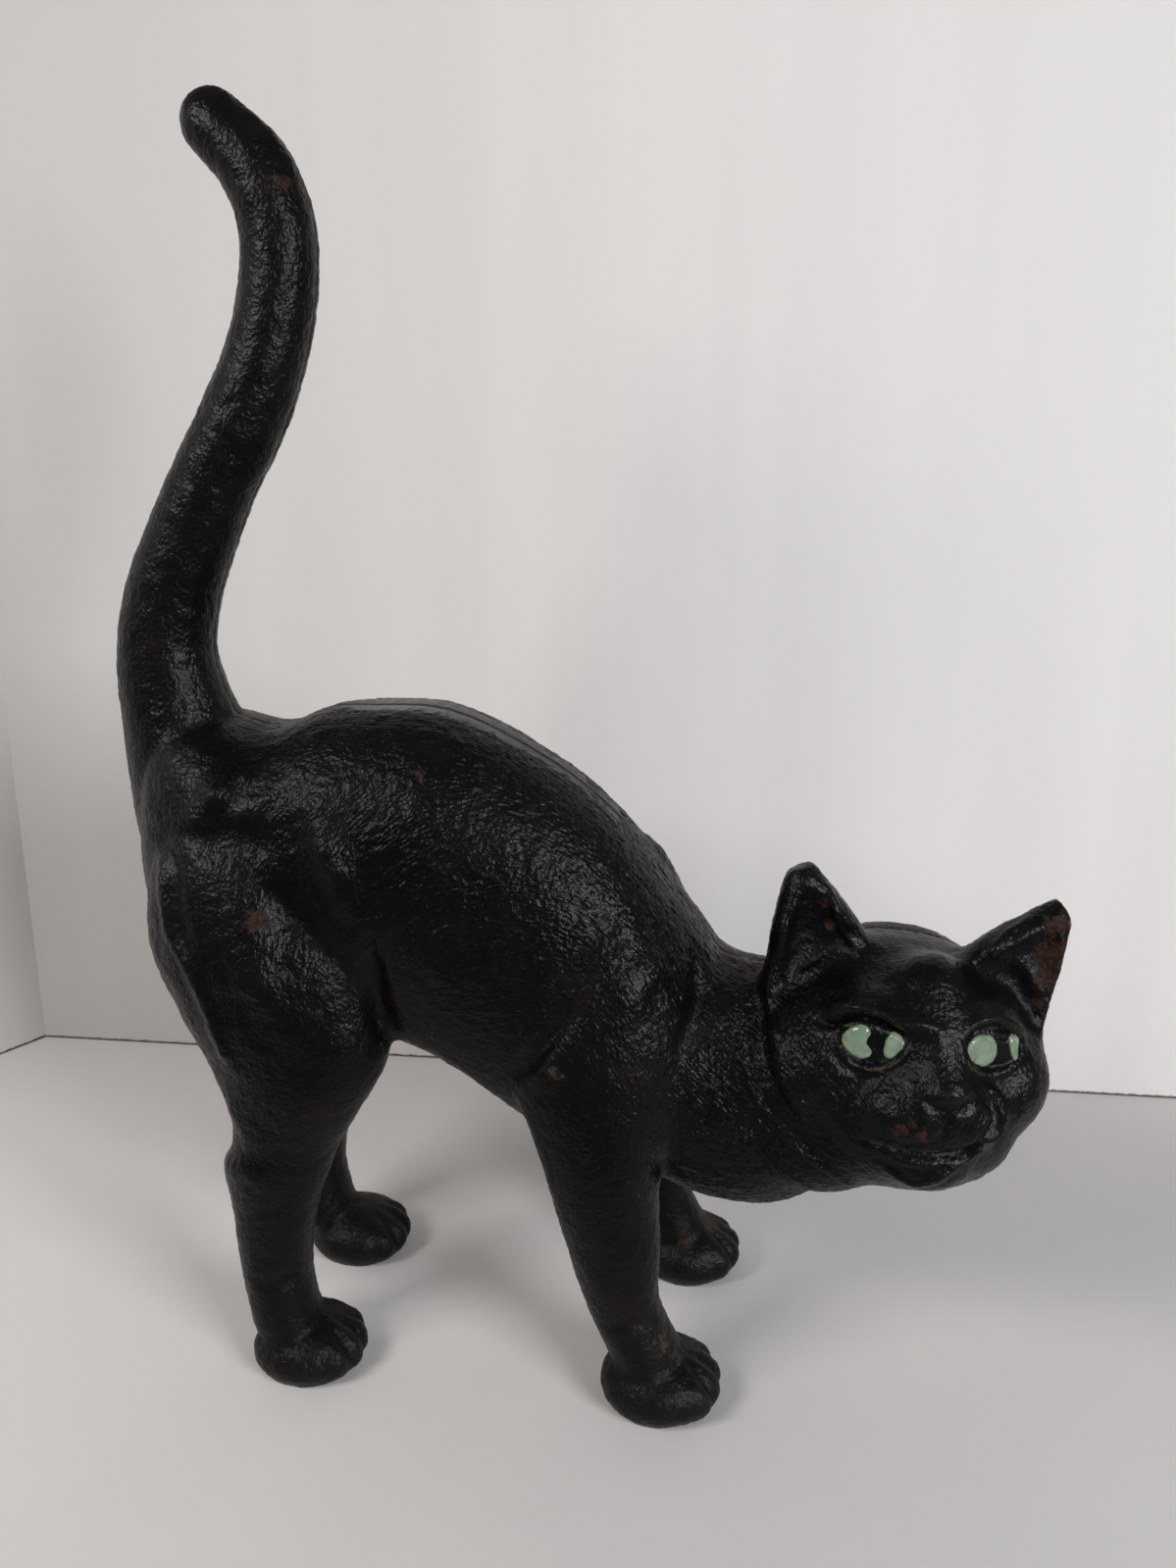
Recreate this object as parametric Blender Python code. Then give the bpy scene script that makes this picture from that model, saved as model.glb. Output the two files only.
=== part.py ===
# Cast iron doorstop: a hollow standing cat, its back arched, its tail up and its head turned to its right.
# It is cast in two halves, split on the animal's own middle plane, y = 0 while it is being modelled, and
# pulled together by one slotted screw. +X is the way the body faces, -Y is the side that the face looks to.
import math

import bmesh
import bpy
import numpy as np
from mathutils import Matrix, Vector
from mathutils.bvhtree import BVHTree

millimetre = 0.001

# Overall length and height, in metres, and the ones that the rows of figures below were drawn for
figure_length = 0.2028
figure_height = 0.2702
drawn_length = 0.2028
drawn_height = 0.2702

# Casting sizes
wall = 0.0042  # iron between the hollow and the outside
seam_gap = 0.0003  # between the two filed faces
sand_grain = 0.0011  # finest form that the mould holds
core_grain = 0.0030
outer_faces = 9000  # triangles of the whole outside
outer_rounds = 10  # smoothing over the joins
core_faces = 1900
core_rounds = 3
beyond = 1.0  # farther than any part of the figure reaches

# Stance: middle of each sole (x, y), the halves are not quite alike
soles = {
    "near_front": (0.0225, -0.0252),
    "far_front": (0.0265, 0.0230),
    "near_rear": (-0.0580, -0.0222),
    "far_rear": (-0.0588, 0.0210),
}
near_hind_leg_back = 0.0002  # how far the leg stands behind the middle of its sole
far_hind_leg_back = 0.0046
sole_sink = 0.0032  # how much of the rounded sole is ground off flat

# Paws
paw_length = 0.0264
paw_width = 0.0242
paw_height = 0.0164
hind_paw_share = 0.97  # the hind paws are smaller
toe_radius = 0.0050
toe_bulge = 0.0006
toe_flatness = 0.8  # width of a toe against its length
toe_inset = 0.6  # of a toe's radius, from the paw's side
toe_spread = math.radians(27)
toe_count = 4

# Screw and its bosses
screw_x = -0.0260
screw_z = 0.1080
thread_diameter = 0.0060
thread_grip = 0.0150  # length of thread inside the near boss
screw_head_diameter = 0.0115
screw_head_height = 0.0034
screw_sides = 48
head_sink = 0.0006  # how far the head lies under the flank
slot_width = 0.0014
slot_depth = 0.0016
boss_diameter = 0.0150
fit_gap = 0.0003

# Register pins that stop the halves turning on the screw, one in the tail's own middle line
pin_diameter = 0.0044
pin_length = 0.0036
tail_pin_z = 0.2005
neck_pin_x = 0.0520
neck_pin_z = 0.0745
neck_post_diameter = 0.0110

# Trunk: back edge (x, z), belly edge (x, z), half width
trunk = [
    (-0.0930, 0.1400, -0.0940, 0.1000, 0.0100),
    (-0.0870, 0.1470, -0.0880, 0.0910, 0.0185),
    (-0.0760, 0.1475, -0.0770, 0.0840, 0.0250),
    (-0.0640, 0.1450, -0.0620, 0.0790, 0.0275),
    (-0.0520, 0.1490, -0.0500, 0.0765, 0.0280),
    (-0.0390, 0.1505, -0.0370, 0.0750, 0.0280),
    (-0.0240, 0.1490, -0.0240, 0.0685, 0.0285),
    (-0.0070, 0.1405, -0.0090, 0.0575, 0.0280),
    (0.0090, 0.1285, 0.0050, 0.0500, 0.0265),
    (0.0230, 0.1105, 0.0170, 0.0480, 0.0235),
    (0.0320, 0.0990, 0.0280, 0.0490, 0.0190),
]
# Neck: nape edge (x, z), throat edge (x, z), half width, middle y, turn of the section in degrees
neck = [
    (0.0050, 0.1280, 0.0010, 0.0580, 0.0260, 0.0000, 0),
    (0.0200, 0.1095, 0.0150, 0.0480, 0.0254, -0.0005, 3),
    (0.0300, 0.0985, 0.0275, 0.0420, 0.0252, -0.0012, 6),
    (0.0400, 0.0945, 0.0390, 0.0402, 0.0250, -0.0022, 9),
    (0.0520, 0.0962, 0.0510, 0.0415, 0.0235, -0.0034, 12),
    (0.0650, 0.1005, 0.0640, 0.0500, 0.0200, -0.0050, 14),
]
# Tail, from the rump to the tip: x, z, radius
tail = [
    (-0.0760, 0.1140, 0.0190),
    (-0.0820, 0.1310, 0.0160),
    (-0.0864, 0.1470, 0.0122),
    (-0.0879, 0.1610, 0.0106),
    (-0.0850, 0.1740, 0.0099),
    (-0.0799, 0.1860, 0.0093),
    (-0.0736, 0.1980, 0.0089),
    (-0.0668, 0.2100, 0.0087),
    (-0.0617, 0.2215, 0.0083),
    (-0.0585, 0.2330, 0.0079),
    (-0.0577, 0.2450, 0.0076),
    (-0.0617, 0.2560, 0.0073),
    (-0.0692, 0.2638, 0.0065),
]
# Fore leg: z, back edge and front edge from the sole's middle, half width, lean inwards
fore_leg = [
    (0.0100, -0.0100, 0.0060, 0.0085, 0.0000),
    (0.0240, -0.0162, 0.0000, 0.0080, 0.0000),
    (0.0380, -0.0208, -0.0005, 0.0087, 0.0005),
    (0.0500, -0.0242, -0.0008, 0.0098, 0.0015),
    (0.0620, -0.0283, 0.0005, 0.0112, 0.0030),
    (0.0780, -0.0340, 0.0020, 0.0126, 0.0052),
    (0.0960, -0.0325, 0.0005, 0.0122, 0.0080),
    (0.1120, -0.0270, -0.0050, 0.0085, 0.0115),
    (0.1190, -0.0230, -0.0100, 0.0040, 0.0135),
]
# Hind leg, the same way
hind_leg = [
    (0.0100, -0.0115, 0.0035, 0.0088, 0.0000),
    (0.0250, -0.0140, 0.0015, 0.0079, 0.0000),
    (0.0400, -0.0152, 0.0040, 0.0081, 0.0000),
    (0.0500, -0.0162, 0.0074, 0.0088, 0.0000),
    (0.0570, -0.0142, 0.0100, 0.0094, 0.0005),
    (0.0660, -0.0146, 0.0154, 0.0108, 0.0010),
    (0.0760, -0.0190, 0.0208, 0.0124, 0.0020),
    (0.0880, -0.0252, 0.0212, 0.0144, 0.0032),
    (0.1040, -0.0306, 0.0170, 0.0152, 0.0050),
    (0.1220, -0.0285, 0.0050, 0.0132, 0.0080),
    (0.1360, -0.0220, -0.0050, 0.0075, 0.0115),
]

# Head: its middle, and how far it is turned, lifted and tipped
head_middle = (0.0711, -0.0100, 0.0846)
head_turn = math.radians(9)
head_lift = math.radians(7)
head_tip = math.radians(9)
# Rounded forms of the head in its own frame, x to its left ear, y to the nape: middle, half sizes
head_forms = {
    "skull": ((0.0000, 0.0045, -0.0032), (0.0293, 0.0250, 0.0234)),
    "right_cheek": ((-0.0176, -0.0022, -0.0085), (0.0150, 0.0170, 0.0165)),
    "left_cheek": ((0.0180, -0.0030, -0.0056), (0.0134, 0.0168, 0.0142)),
    "jaw": ((0.0010, -0.0045, -0.0172), (0.0250, 0.0185, 0.0142)),
    "ruff": ((-0.0140, -0.0010, -0.0236), (0.0170, 0.0155, 0.0128)),
    "forehead": ((0.0003, -0.0058, 0.0052), (0.0232, 0.0128, 0.0108)),
    "muzzle": ((0.0024, -0.0155, -0.0092), (0.0138, 0.0122, 0.0118)),
    "right_pad": ((-0.0034, -0.0190, -0.0112), (0.0092, 0.0080, 0.0076)),
    "left_pad": ((0.0088, -0.0190, -0.0102), (0.0086, 0.0080, 0.0074)),
    "chin": ((0.0032, -0.0178, -0.0202), (0.0104, 0.0078, 0.0064)),
    "right_eye": ((-0.0120, -0.0140, 0.0034), (0.0076, 0.0064, 0.0060)),
    "left_eye": ((0.0126, -0.0140, 0.0050), (0.0076, 0.0064, 0.0060)),
}
# Bridge of the nose down to its tip: x, y, z, radius
nose = [
    (0.0004, -0.0100, 0.0115, 0.0096),
    (0.0010, -0.0135, 0.0064, 0.0090),
    (0.0018, -0.0176, 0.0012, 0.0080),
    (0.0025, -0.0218, -0.0030, 0.0060),
]
# Frown over each eye, outer end to inner end: x, y, z, radius
right_brow = [
    (-0.0185, -0.0085, 0.0084, 0.0026),
    (-0.0130, -0.0155, 0.0096, 0.0030),
    (-0.0075, -0.0184, 0.0084, 0.0030),
    (-0.0040, -0.0192, 0.0060, 0.0028),
]
left_brow = [
    (0.0190, -0.0085, 0.0098, 0.0026),
    (0.0138, -0.0153, 0.0110, 0.0030),
    (0.0086, -0.0184, 0.0096, 0.0030),
    (0.0052, -0.0192, 0.0070, 0.0028),
]
# Ears: inner foot and outer foot (x, z), tip (x, z), depth of the middle behind the head's own
right_ear = ((-0.0126, 0.0178), (-0.0293, 0.0080), (-0.0284, 0.0342), -0.0005)
left_ear = ((0.0132, 0.0204), (0.0262, 0.0035), (0.0286, 0.0336), -0.0045)
ear_depth = 0.0120
ear_tip_radius = 0.0028
ear_rim = 0.0027
ear_levels = (-0.45, -0.2, 0.0, 0.2, 0.4, 0.6, 0.78, 0.9, 1.0)  # from below the foot to the tip
ear_side_curve = 0.9  # below 1 the ear's sides swell
ear_thick_curve = 0.8
ear_sides = 24

# Strokes worked over the joined forms: how far out, how wide, points, all in millimetres.
# Those of the body are worked on both flanks, and the points are on the near one.
body_strokes = [
    (-1.5, 2.6, [(24.5, -16.5, 100.5), (27, -17.5, 94.5), (27.5, -21, 88.5), (26.5, -24.5, 82)]),
    (1.6, 8.0, [(13, -26, 96), (17, -26, 92), (21, -24, 88), (22, -26, 81)]),
    (-1.7, 2.2, [(-9.5, -27, 75.5), (-4, -29.5, 83.5), (1, -30, 89.5), (5, -29.5, 94.5)]),
    (-2.4, 2.2, [(-39, -27.5, 106), (-38, -27, 97), (-37, -25, 88), (-36, -20, 80.5)]),
    (0.9, 1.7, [(-81.5, -25, 118.5), (-80, -28.5, 108), (-72.5, -32, 96), (-68, -31, 78)]),
    (-0.9, 2.0, [(-84.5, -20.5, 123.5), (-78.5, -26.5, 119), (-77.5, -29, 109.5), (-75.5, -31, 99.5)]),
    (1.6, 4.2, [(-72.5, -23.5, 131), (-69, -21.5, 136), (-65, -19, 138.5), (-61.5, -17, 140.5)]),
    (-1.7, 5.5, [(-66.5, -25, 126.5), (-60.5, -25.5, 125.5), (-55, -26, 126.5)]),
    (1.7, 4.6, [(-47.5, -24.5, 133.5), (-45.5, -26.5, 127), (-44, -27.5, 121), (-41, -28, 112)]),
    (-1.1, 5.0, [(-54, -30.5, 106), (-52.5, -30.5, 99), (-51, -30.5, 92)]),
]
# Those of the face are in the head's frame: frowns, lids, nose, mouth and the folds round the muzzle
face_strokes = [
    (1.3, 1.3, [(-20.5, -13.5, 5.5), (-16.5, -17, 8.5), (-12.5, -19.5, 9), (-8, -21, 8), (-1, -22.5, 7.5)]),
    (-1.4, 1.2, [(-21, -13, 4), (-17.5, -17.5, 6.5), (-14, -19.5, 7), (-7, -21, 6), (-4.5, -21.5, 3.5)]),
    (1.0, 1.2, [(3.5, -23.5, 6), (5.5, -23, 8), (8.5, -21, 10.5), (12.5, -20, 11), (19, -17, 8.5)]),
    (-1.1, 1.1, [(4, -23.5, 5), (6.5, -22, 7.5), (9, -21, 9), (12.5, -20, 9), (18.5, -17.5, 7)]),
    (0.8, 1.0, [(-18.5, -17, 2), (-15, -18, -2.5), (-11.5, -18.5, -4), (-8, -19.5, -3), (-4, -21, 1.5)]),
    (0.8, 1.0, [(4.5, -23.5, 3), (7, -22, 0), (10, -19.5, -1.5), (14, -18.5, -2), (19.5, -17, 2)]),
    (1.3, 1.6, [(0, -27.5, -4), (3.5, -28.5, -3.5), (7, -27, -3.5)]),
    (-1.2, 1.1, [(-11, -20.5, -16.5), (-4.5, -24, -17), (3, -25.5, -17), (9.5, -24.5, -15.5)]),
    (0.9, 1.0, [(-10, -21, -18), (-2.5, -24, -18.5), (2.5, -24.5, -19), (9.5, -24, -17.5)]),
    (1.1, 1.2, [(16.5, -20, -5), (17.5, -20, -9.5), (15.5, -21, -13.5), (12, -22, -17.5), (4, -24, -22.5)]),
    (-1.1, 1.1, [(14.5, -21.5, -5.5), (15.5, -21.5, -9), (13.5, -22.5, -12.5), (10.5, -23.5, -16.5)]),
]

stroke_reach = 3  # widths
stroke_steps = 8

iron_colour = (0.012, 0.012, 0.013, 1)
iron_roughness = 0.36
steel_colour = (0.030, 0.028, 0.026, 1)
steel_roughness = 0.45
sharp_angle = math.radians(50)

x_share = figure_length / drawn_length
z_share = figure_height / drawn_height


def stretched(rows, columns):
    """Rows of figures taken to the overall sizes. Columns has an x, a z or a dash for each column."""
    shares = {"x": x_share, "z": z_share, "-": 1.0}
    return [tuple(value * shares[kind] for value, kind in zip(row, columns)) for row in rows]


def tail_middle_x(z):
    """Where the tail's middle line is at that height, above the rump."""
    rows = stretched(tail, "xz-")
    return float(np.interp(z, [row[1] for row in rows], [row[0] for row in rows]))


screw_place = (screw_x * x_share, screw_z * z_share)
neck_pin_place = (neck_pin_x * x_share, neck_pin_z * z_share)
tail_pin_place = (tail_middle_x(tail_pin_z * z_share), tail_pin_z * z_share)


def clear_scene():
    for thing in list(bpy.data.objects):
        bpy.data.objects.remove(thing, do_unlink=True)


def put(name, bm):
    bmesh.ops.recalc_face_normals(bm, faces=bm.faces)
    mesh = bpy.data.meshes.new(name)
    bm.to_mesh(mesh)
    bm.free()
    thing = bpy.data.objects.new(name, mesh)
    bpy.context.collection.objects.link(thing)
    return thing


def settle(thing):
    """Turn the object's modifiers into its mesh."""
    bpy.context.view_layer.update()
    seen = thing.evaluated_get(bpy.context.evaluated_depsgraph_get())
    mesh = bpy.data.meshes.new_from_object(seen)
    thing.modifiers.clear()
    thing.data = mesh
    return thing


def modified(thing, kind, **settings):
    modifier = thing.modifiers.new(kind.title(), kind)
    for key, value in settings.items():
        setattr(modifier, key, value)
    return settle(thing)


def combine(thing, operation, *others):
    """Boolean with each of the others, which are used up."""
    for other in others:
        modified(thing, "BOOLEAN", operation=operation, object=other, solver="EXACT")
        bpy.data.objects.remove(other, do_unlink=True)
    return thing


def smooth_rows(rows, steps=4):
    """Rows of numbers with a smooth curve drawn through each column."""
    rows = np.array(rows, float)
    ends = np.vstack([2 * rows[0] - rows[1], rows, 2 * rows[-1] - rows[-2]])
    out = []
    for a, b, c, d in zip(ends, ends[1:], ends[2:], ends[3:]):
        for t in np.arange(steps) / steps:
            square = 2 * a - 5 * b + 4 * c - d
            cube = 3 * b - a - 3 * c + d
            out.append(0.5 * (2 * b + (c - a) * t + square * t**2 + cube * t**3))
    out.append(rows[-1])
    return out


def skin(bm, rings):
    """Close a row of equal rings into one skin."""
    loops = [[bm.verts.new(point) for point in ring] for ring in rings]
    for one, two in zip(loops, loops[1:]):
        for k in range(len(one)):
            after = (k + 1) % len(one)
            bm.faces.new((one[k], one[after], two[after], two[k]))
    bm.faces.new(loops[0])
    bm.faces.new(reversed(loops[-1]))


def loft(bm, sections, squareness=2.4, sides=28):
    """Skin through upright sections: edge x, z, other edge x, z, half width, middle y, turn in degrees."""
    rings = []
    for row in smooth_rows(sections):
        x1, z1, x2, z2, half, y, turn = row
        middle = np.array([(x1 + x2) / 2, y, (z1 + z2) / 2])
        turn = math.radians(turn)
        across = np.array([math.sin(turn), math.cos(turn), 0.0]) * half
        lean = np.array([(x1 - x2) / 2 * math.cos(turn), -(x1 - x2) / 2 * math.sin(turn), (z1 - z2) / 2])
        ring = []
        for k in range(sides):
            angle = 2 * math.pi * k / sides
            c, s = math.cos(angle), math.sin(angle)
            c = math.copysign(abs(c) ** (2 / squareness), c)
            s = math.copysign(abs(s) ** (2 / squareness), s)
            ring.append(middle + lean * c + across * s)
        rings.append(ring)
    skin(bm, rings)


def tube(bm, points, sides=20, steps=4):
    """Round tube along x, y, z, radius, with a ball on each end."""
    rows = smooth_rows(points, steps)
    path = np.array([row[:3] for row in rows])
    ahead = np.gradient(path, axis=0)
    rings = []
    for place, way, row in zip(path, ahead, rows):
        way = Vector(way).normalized()
        side = (Vector((0, 1, 0)) - way * way.y).normalized()
        other = way.cross(side)
        angles = [2 * math.pi * k / sides for k in range(sides)]
        rings.append([Vector(place) + (side * math.cos(a) + other * math.sin(a)) * row[3] for a in angles])
    skin(bm, rings)
    for row in (rows[0], rows[-1]):
        ball(bm, row[:3], (row[3],) * 3)


def ball(bm, middle, half_sizes, frame=Matrix()):
    place = frame @ Matrix.Translation(middle) @ Matrix.Diagonal((*half_sizes, 1))
    bmesh.ops.create_uvsphere(bm, u_segments=24, v_segments=14, radius=1, matrix=place)


def cylinder(name, x, z, diameter, y_from, y_to, end_diameter=None, sides=32):
    """Cylinder or cone along Y."""
    bm = bmesh.new()
    wide = diameter if end_diameter is None else end_diameter
    turn = Matrix.Rotation(math.radians(-90), 4, "X")
    place = Matrix.Translation((x, (y_from + y_to) / 2, z)) @ turn
    sizes = {"radius1": diameter / 2, "radius2": wide / 2, "depth": y_to - y_from}
    bmesh.ops.create_cone(bm, cap_ends=True, segments=sides, matrix=place, **sizes)
    return put(name, bm)


def block(name, low, high):
    bm = bmesh.new()
    low, high = Vector(low), Vector(high)
    place = Matrix.Translation((low + high) / 2) @ Matrix.Diagonal((*(high - low), 1))
    bmesh.ops.create_cube(bm, size=1, matrix=place)
    return put(name, bm)


def head_frame():
    turn = Matrix.Rotation(head_turn, 4, "Z") @ Matrix.Rotation(-head_lift, 4, "X")
    middle = stretched([head_middle], "x-z")[0]
    return Matrix.Translation(middle) @ turn @ Matrix.Rotation(head_tip, 4, "Y")


def trunk_and_neck(bm):
    loft(bm, [(*row, 0.0, 0.0) for row in stretched(trunk, "xzxz-")])
    loft(bm, stretched(neck, "xzxz---"), squareness=2.1)


def leg(bm, rows, corner, back_by=0.0, share=1.0):
    """A leg and its paw at one corner. Share is the size of the paw against a fore paw."""
    sole_x, sole_y = stretched([soles[corner]], "x-")[0]
    inwards = -math.copysign(1, sole_y)
    leg_x = sole_x - back_by
    shape = []
    for z, back, front, half, lean in stretched(rows, "zxx--"):
        shape.append((leg_x + back, z, leg_x + front, z, half, sole_y + inwards * lean, 0))
    loft(bm, shape, squareness=2.1, sides=20)
    length, width, height, toe = (share * size for size in (paw_length, paw_width, paw_height, toe_radius))
    ball(bm, (sole_x, sole_y, height / 2 - sole_sink), (length / 2, width / 2, height / 2))
    for k in range(toe_count):
        angle = toe_spread * (k - (toe_count - 1) / 2)
        reach_x = (length / 2 - toe + toe_bulge) * math.cos(angle)
        reach_y = (width / 2 - toe * toe_inset) * math.sin(angle)
        ball(bm, (sole_x + reach_x, sole_y + reach_y, toe), (toe, toe * toe_flatness, toe))


def stroke_weight(places, points, width):
    """How near each place is to a stroke: 1 on it, falling to nothing at its reach."""
    rows = np.array(smooth_rows(points, stroke_steps))
    low, high = rows.min(axis=0) - stroke_reach * width, rows.max(axis=0) + stroke_reach * width
    near = np.flatnonzero(((places > low) & (places < high)).all(axis=1))
    gap = np.full(len(near), np.inf)
    for spot in rows:
        gap = np.minimum(gap, ((places[near] - spot) ** 2).sum(axis=1))
    weight = np.zeros(len(places))
    weight[near] = np.exp(-gap / width**2)
    return weight


def work_strokes(thing):
    """Push the skin out or in along the strokes."""
    mesh = thing.data
    places = np.array([vertex.co for vertex in mesh.vertices])
    normals = np.array([vertex.normal for vertex in mesh.vertices])
    tree = BVHTree.FromObject(thing, bpy.context.evaluated_depsgraph_get())
    frame = head_frame()
    move = np.zeros(len(places))
    for amount, width, points in body_strokes:
        for side in (1, -1):
            placed = [(x * x_share, y * side, z * z_share) for x, y, z in points]
            on_skin = [tree.find_nearest(Vector(point) * millimetre)[0] for point in placed]
            move += amount * millimetre * stroke_weight(places, on_skin, width * millimetre)
    for amount, width, points in face_strokes:
        on_skin = [tree.find_nearest(frame @ (Vector(point) * millimetre))[0] for point in points]
        move += amount * millimetre * stroke_weight(places, on_skin, width * millimetre)
    mesh.vertices.foreach_set("co", (places + normals * move[:, None]).ravel())
    mesh.update()


def ear(corners, grow=0.0, forward=0.0):
    """Leaf-shaped cone from below its foot to its tip, in the head's frame."""
    inner, outer, tip, depth = corners
    inner, outer, tip = Vector(inner), Vector(outer), Vector(tip)
    foot = (inner + outer) / 2
    along = (outer - inner) / 2
    rise = tip - foot
    bm = bmesh.new()
    rings = []
    for t in ear_levels:
        left = max(1 - t, 0.0)
        half = along * left**ear_side_curve + along.normalized() * (ear_tip_radius + grow)
        thick = ear_depth / 2 * left**ear_thick_curve + ear_tip_radius + grow
        centre = foot + rise * (t * (1 - ear_tip_radius / rise.length))
        ring = []
        for k in range(ear_sides):
            angle = 2 * math.pi * k / ear_sides
            flat = centre + half * math.cos(angle)
            ring.append(Vector((flat.x, depth - forward + thick * math.sin(angle), flat.y)))
        rings.append(ring)
    skin(bm, rings)
    bm.transform(head_frame())
    return put("ear", bm)


def ear_with_hollow(corners):
    """The ear's own cone less a smaller one set forward, which leaves the raised rim."""
    shell = ear(corners)
    hollow = ear(corners, grow=-ear_rim, forward=ear_depth / 2)
    return combine(shell, "DIFFERENCE", hollow)


def fused(name, bm, extras, grain, rounds, faces, worked=False):
    """Melt crossing forms into one skin with soft joins, worked over with the strokes or left as it is."""
    thing = put(name, bm)
    if extras:
        own = bmesh.new()
        own.from_mesh(thing.data)
        for extra in extras:
            own.from_mesh(extra.data)
            bpy.data.objects.remove(extra, do_unlink=True)
        own.to_mesh(thing.data)
        own.free()
    modified(thing, "REMESH", mode="VOXEL", voxel_size=grain)
    modified(thing, "SMOOTH", factor=0.5, iterations=rounds)
    if worked:
        work_strokes(thing)
    share = faces / (2 * len(thing.data.polygons))
    if share < 1:
        modified(thing, "DECIMATE", ratio=share)
    return thing


def whole_figure():
    bm = bmesh.new()
    trunk_and_neck(bm)
    tube(bm, [(x, 0.0, z, radius) for x, z, radius in stretched(tail, "xz-")])
    leg(bm, fore_leg, "near_front")
    leg(bm, fore_leg, "far_front")
    leg(bm, hind_leg, "near_rear", near_hind_leg_back, hind_paw_share)
    leg(bm, hind_leg, "far_rear", far_hind_leg_back, hind_paw_share)
    head = bmesh.new()
    for middle, half_sizes in head_forms.values():
        ball(head, middle, half_sizes)
    for ridge in (nose, right_brow, left_brow):
        tube(head, ridge, sides=16)
    head.transform(head_frame())
    head_skin = put("head", head)
    ears = [ear_with_hollow(corners) for corners in (right_ear, left_ear)]
    figure = fused("figure", bm, [head_skin, *ears], sand_grain, outer_rounds, outer_faces, worked=True)
    ground = block("ground", (-beyond, -beyond, -beyond), (beyond, beyond, 0))
    return combine(figure, "DIFFERENCE", ground)


def hollow_core():
    """The sand core: trunk, neck and skull drawn in by the wall."""
    bm = bmesh.new()
    trunk_and_neck(bm)
    frame = head_frame()
    for name in ("skull", "right_cheek", "left_cheek"):
        ball(bm, *head_forms[name], frame)
    core = fused("core", bm, [], core_grain, core_rounds, math.inf)
    modified(core, "DISPLACE", strength=-wall, mid_level=0.0, direction="NORMAL")
    modified(core, "REMESH", mode="VOXEL", voxel_size=core_grain)
    modified(core, "DECIMATE", ratio=min(1, core_faces / (2 * len(core.data.polygons))))
    return core


def copy_of(thing, name):
    twin = bpy.data.objects.new(name, thing.data.copy())
    bpy.context.collection.objects.link(twin)
    return twin


def flank_y(figure, x, z, side):
    """Where a line along Y at x, z leaves the figure's flank on that side."""
    tree = BVHTree.FromObject(figure, bpy.context.evaluated_depsgraph_get())
    hit = tree.ray_cast(Vector((x, side * beyond, z)), Vector((0, -side, 0)))[0]
    return hit.y


def screw(head_y):
    """Countersunk slotted screw from the far flank into the near boss."""
    tip_y = -thread_grip
    neck_y = head_y - screw_head_height
    x, z = screw_place
    overlap_y = neck_y + screw_head_height / 2
    body = cylinder("assembly_screw", x, z, thread_diameter, tip_y, overlap_y, sides=screw_sides)
    cone = cylinder("cone", x, z, thread_diameter, neck_y, head_y, screw_head_diameter, screw_sides)
    combine(body, "UNION", cone)
    half = slot_width / 2
    low = (x - half, head_y - slot_depth, z - screw_head_diameter)
    high = (x + half, head_y + slot_depth, z + screw_head_diameter)
    return combine(body, "DIFFERENCE", block("slot", low, high))


def screw_room(head_y, flank):
    """What the far half gives up for the screw: bore, countersink and the way in."""
    bore = thread_diameter + 2 * fit_gap
    neck_y = head_y - screw_head_height
    wide = screw_head_diameter + 2 * fit_gap
    room = cylinder("bore", *screw_place, bore, -seam_gap, neck_y, sides=screw_sides)
    sink = cylinder("sink", *screw_place, bore, neck_y - fit_gap, head_y, wide, screw_sides)
    way_in = cylinder("way_in", *screw_place, wide, head_y - fit_gap, flank + wall, sides=screw_sides)
    return combine(room, "UNION", sink, way_in)


def half_casting(name, figure, core, side):
    """One half of the figure, hollowed, and cut back to its own side of the seam."""
    half = copy_of(figure, name)
    low, high = sorted((side * seam_gap / 2, side * beyond))
    combine(half, "INTERSECT", block("side", (-beyond, low, -beyond), (beyond, high, beyond)))
    return combine(half, "DIFFERENCE", copy_of(core, "hollow"))


def finish(thing, colour, roughness, metallic):
    material = bpy.data.materials.new(thing.name + "_finish")
    material.use_nodes = True
    shader = material.node_tree.nodes["Principled BSDF"]
    shader.inputs["Base Color"].default_value = colour
    shader.inputs["Roughness"].default_value = roughness
    shader.inputs["Metallic"].default_value = metallic
    thing.data.materials.clear()
    thing.data.materials.append(material)
    thing.data.shade_smooth()
    thing.data.set_sharp_from_angle(angle=sharp_angle)


def stand_on_origin(things):
    """Move everything so that the floor under the middle of the whole is the origin."""
    points = np.array([v.co for thing in things for v in thing.data.vertices])
    low, high = points.min(axis=0), points.max(axis=0)
    shift = Vector((-(low[0] + high[0]) / 2, -(low[1] + high[1]) / 2, -low[2]))
    for thing in things:
        thing.data.transform(Matrix.Translation(shift))
    print("seam plane at y", round(shift.y, 5), "moved in x by", round(shift.x, 5))
    print("size", [round(float(v), 4) for v in high - low])


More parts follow.
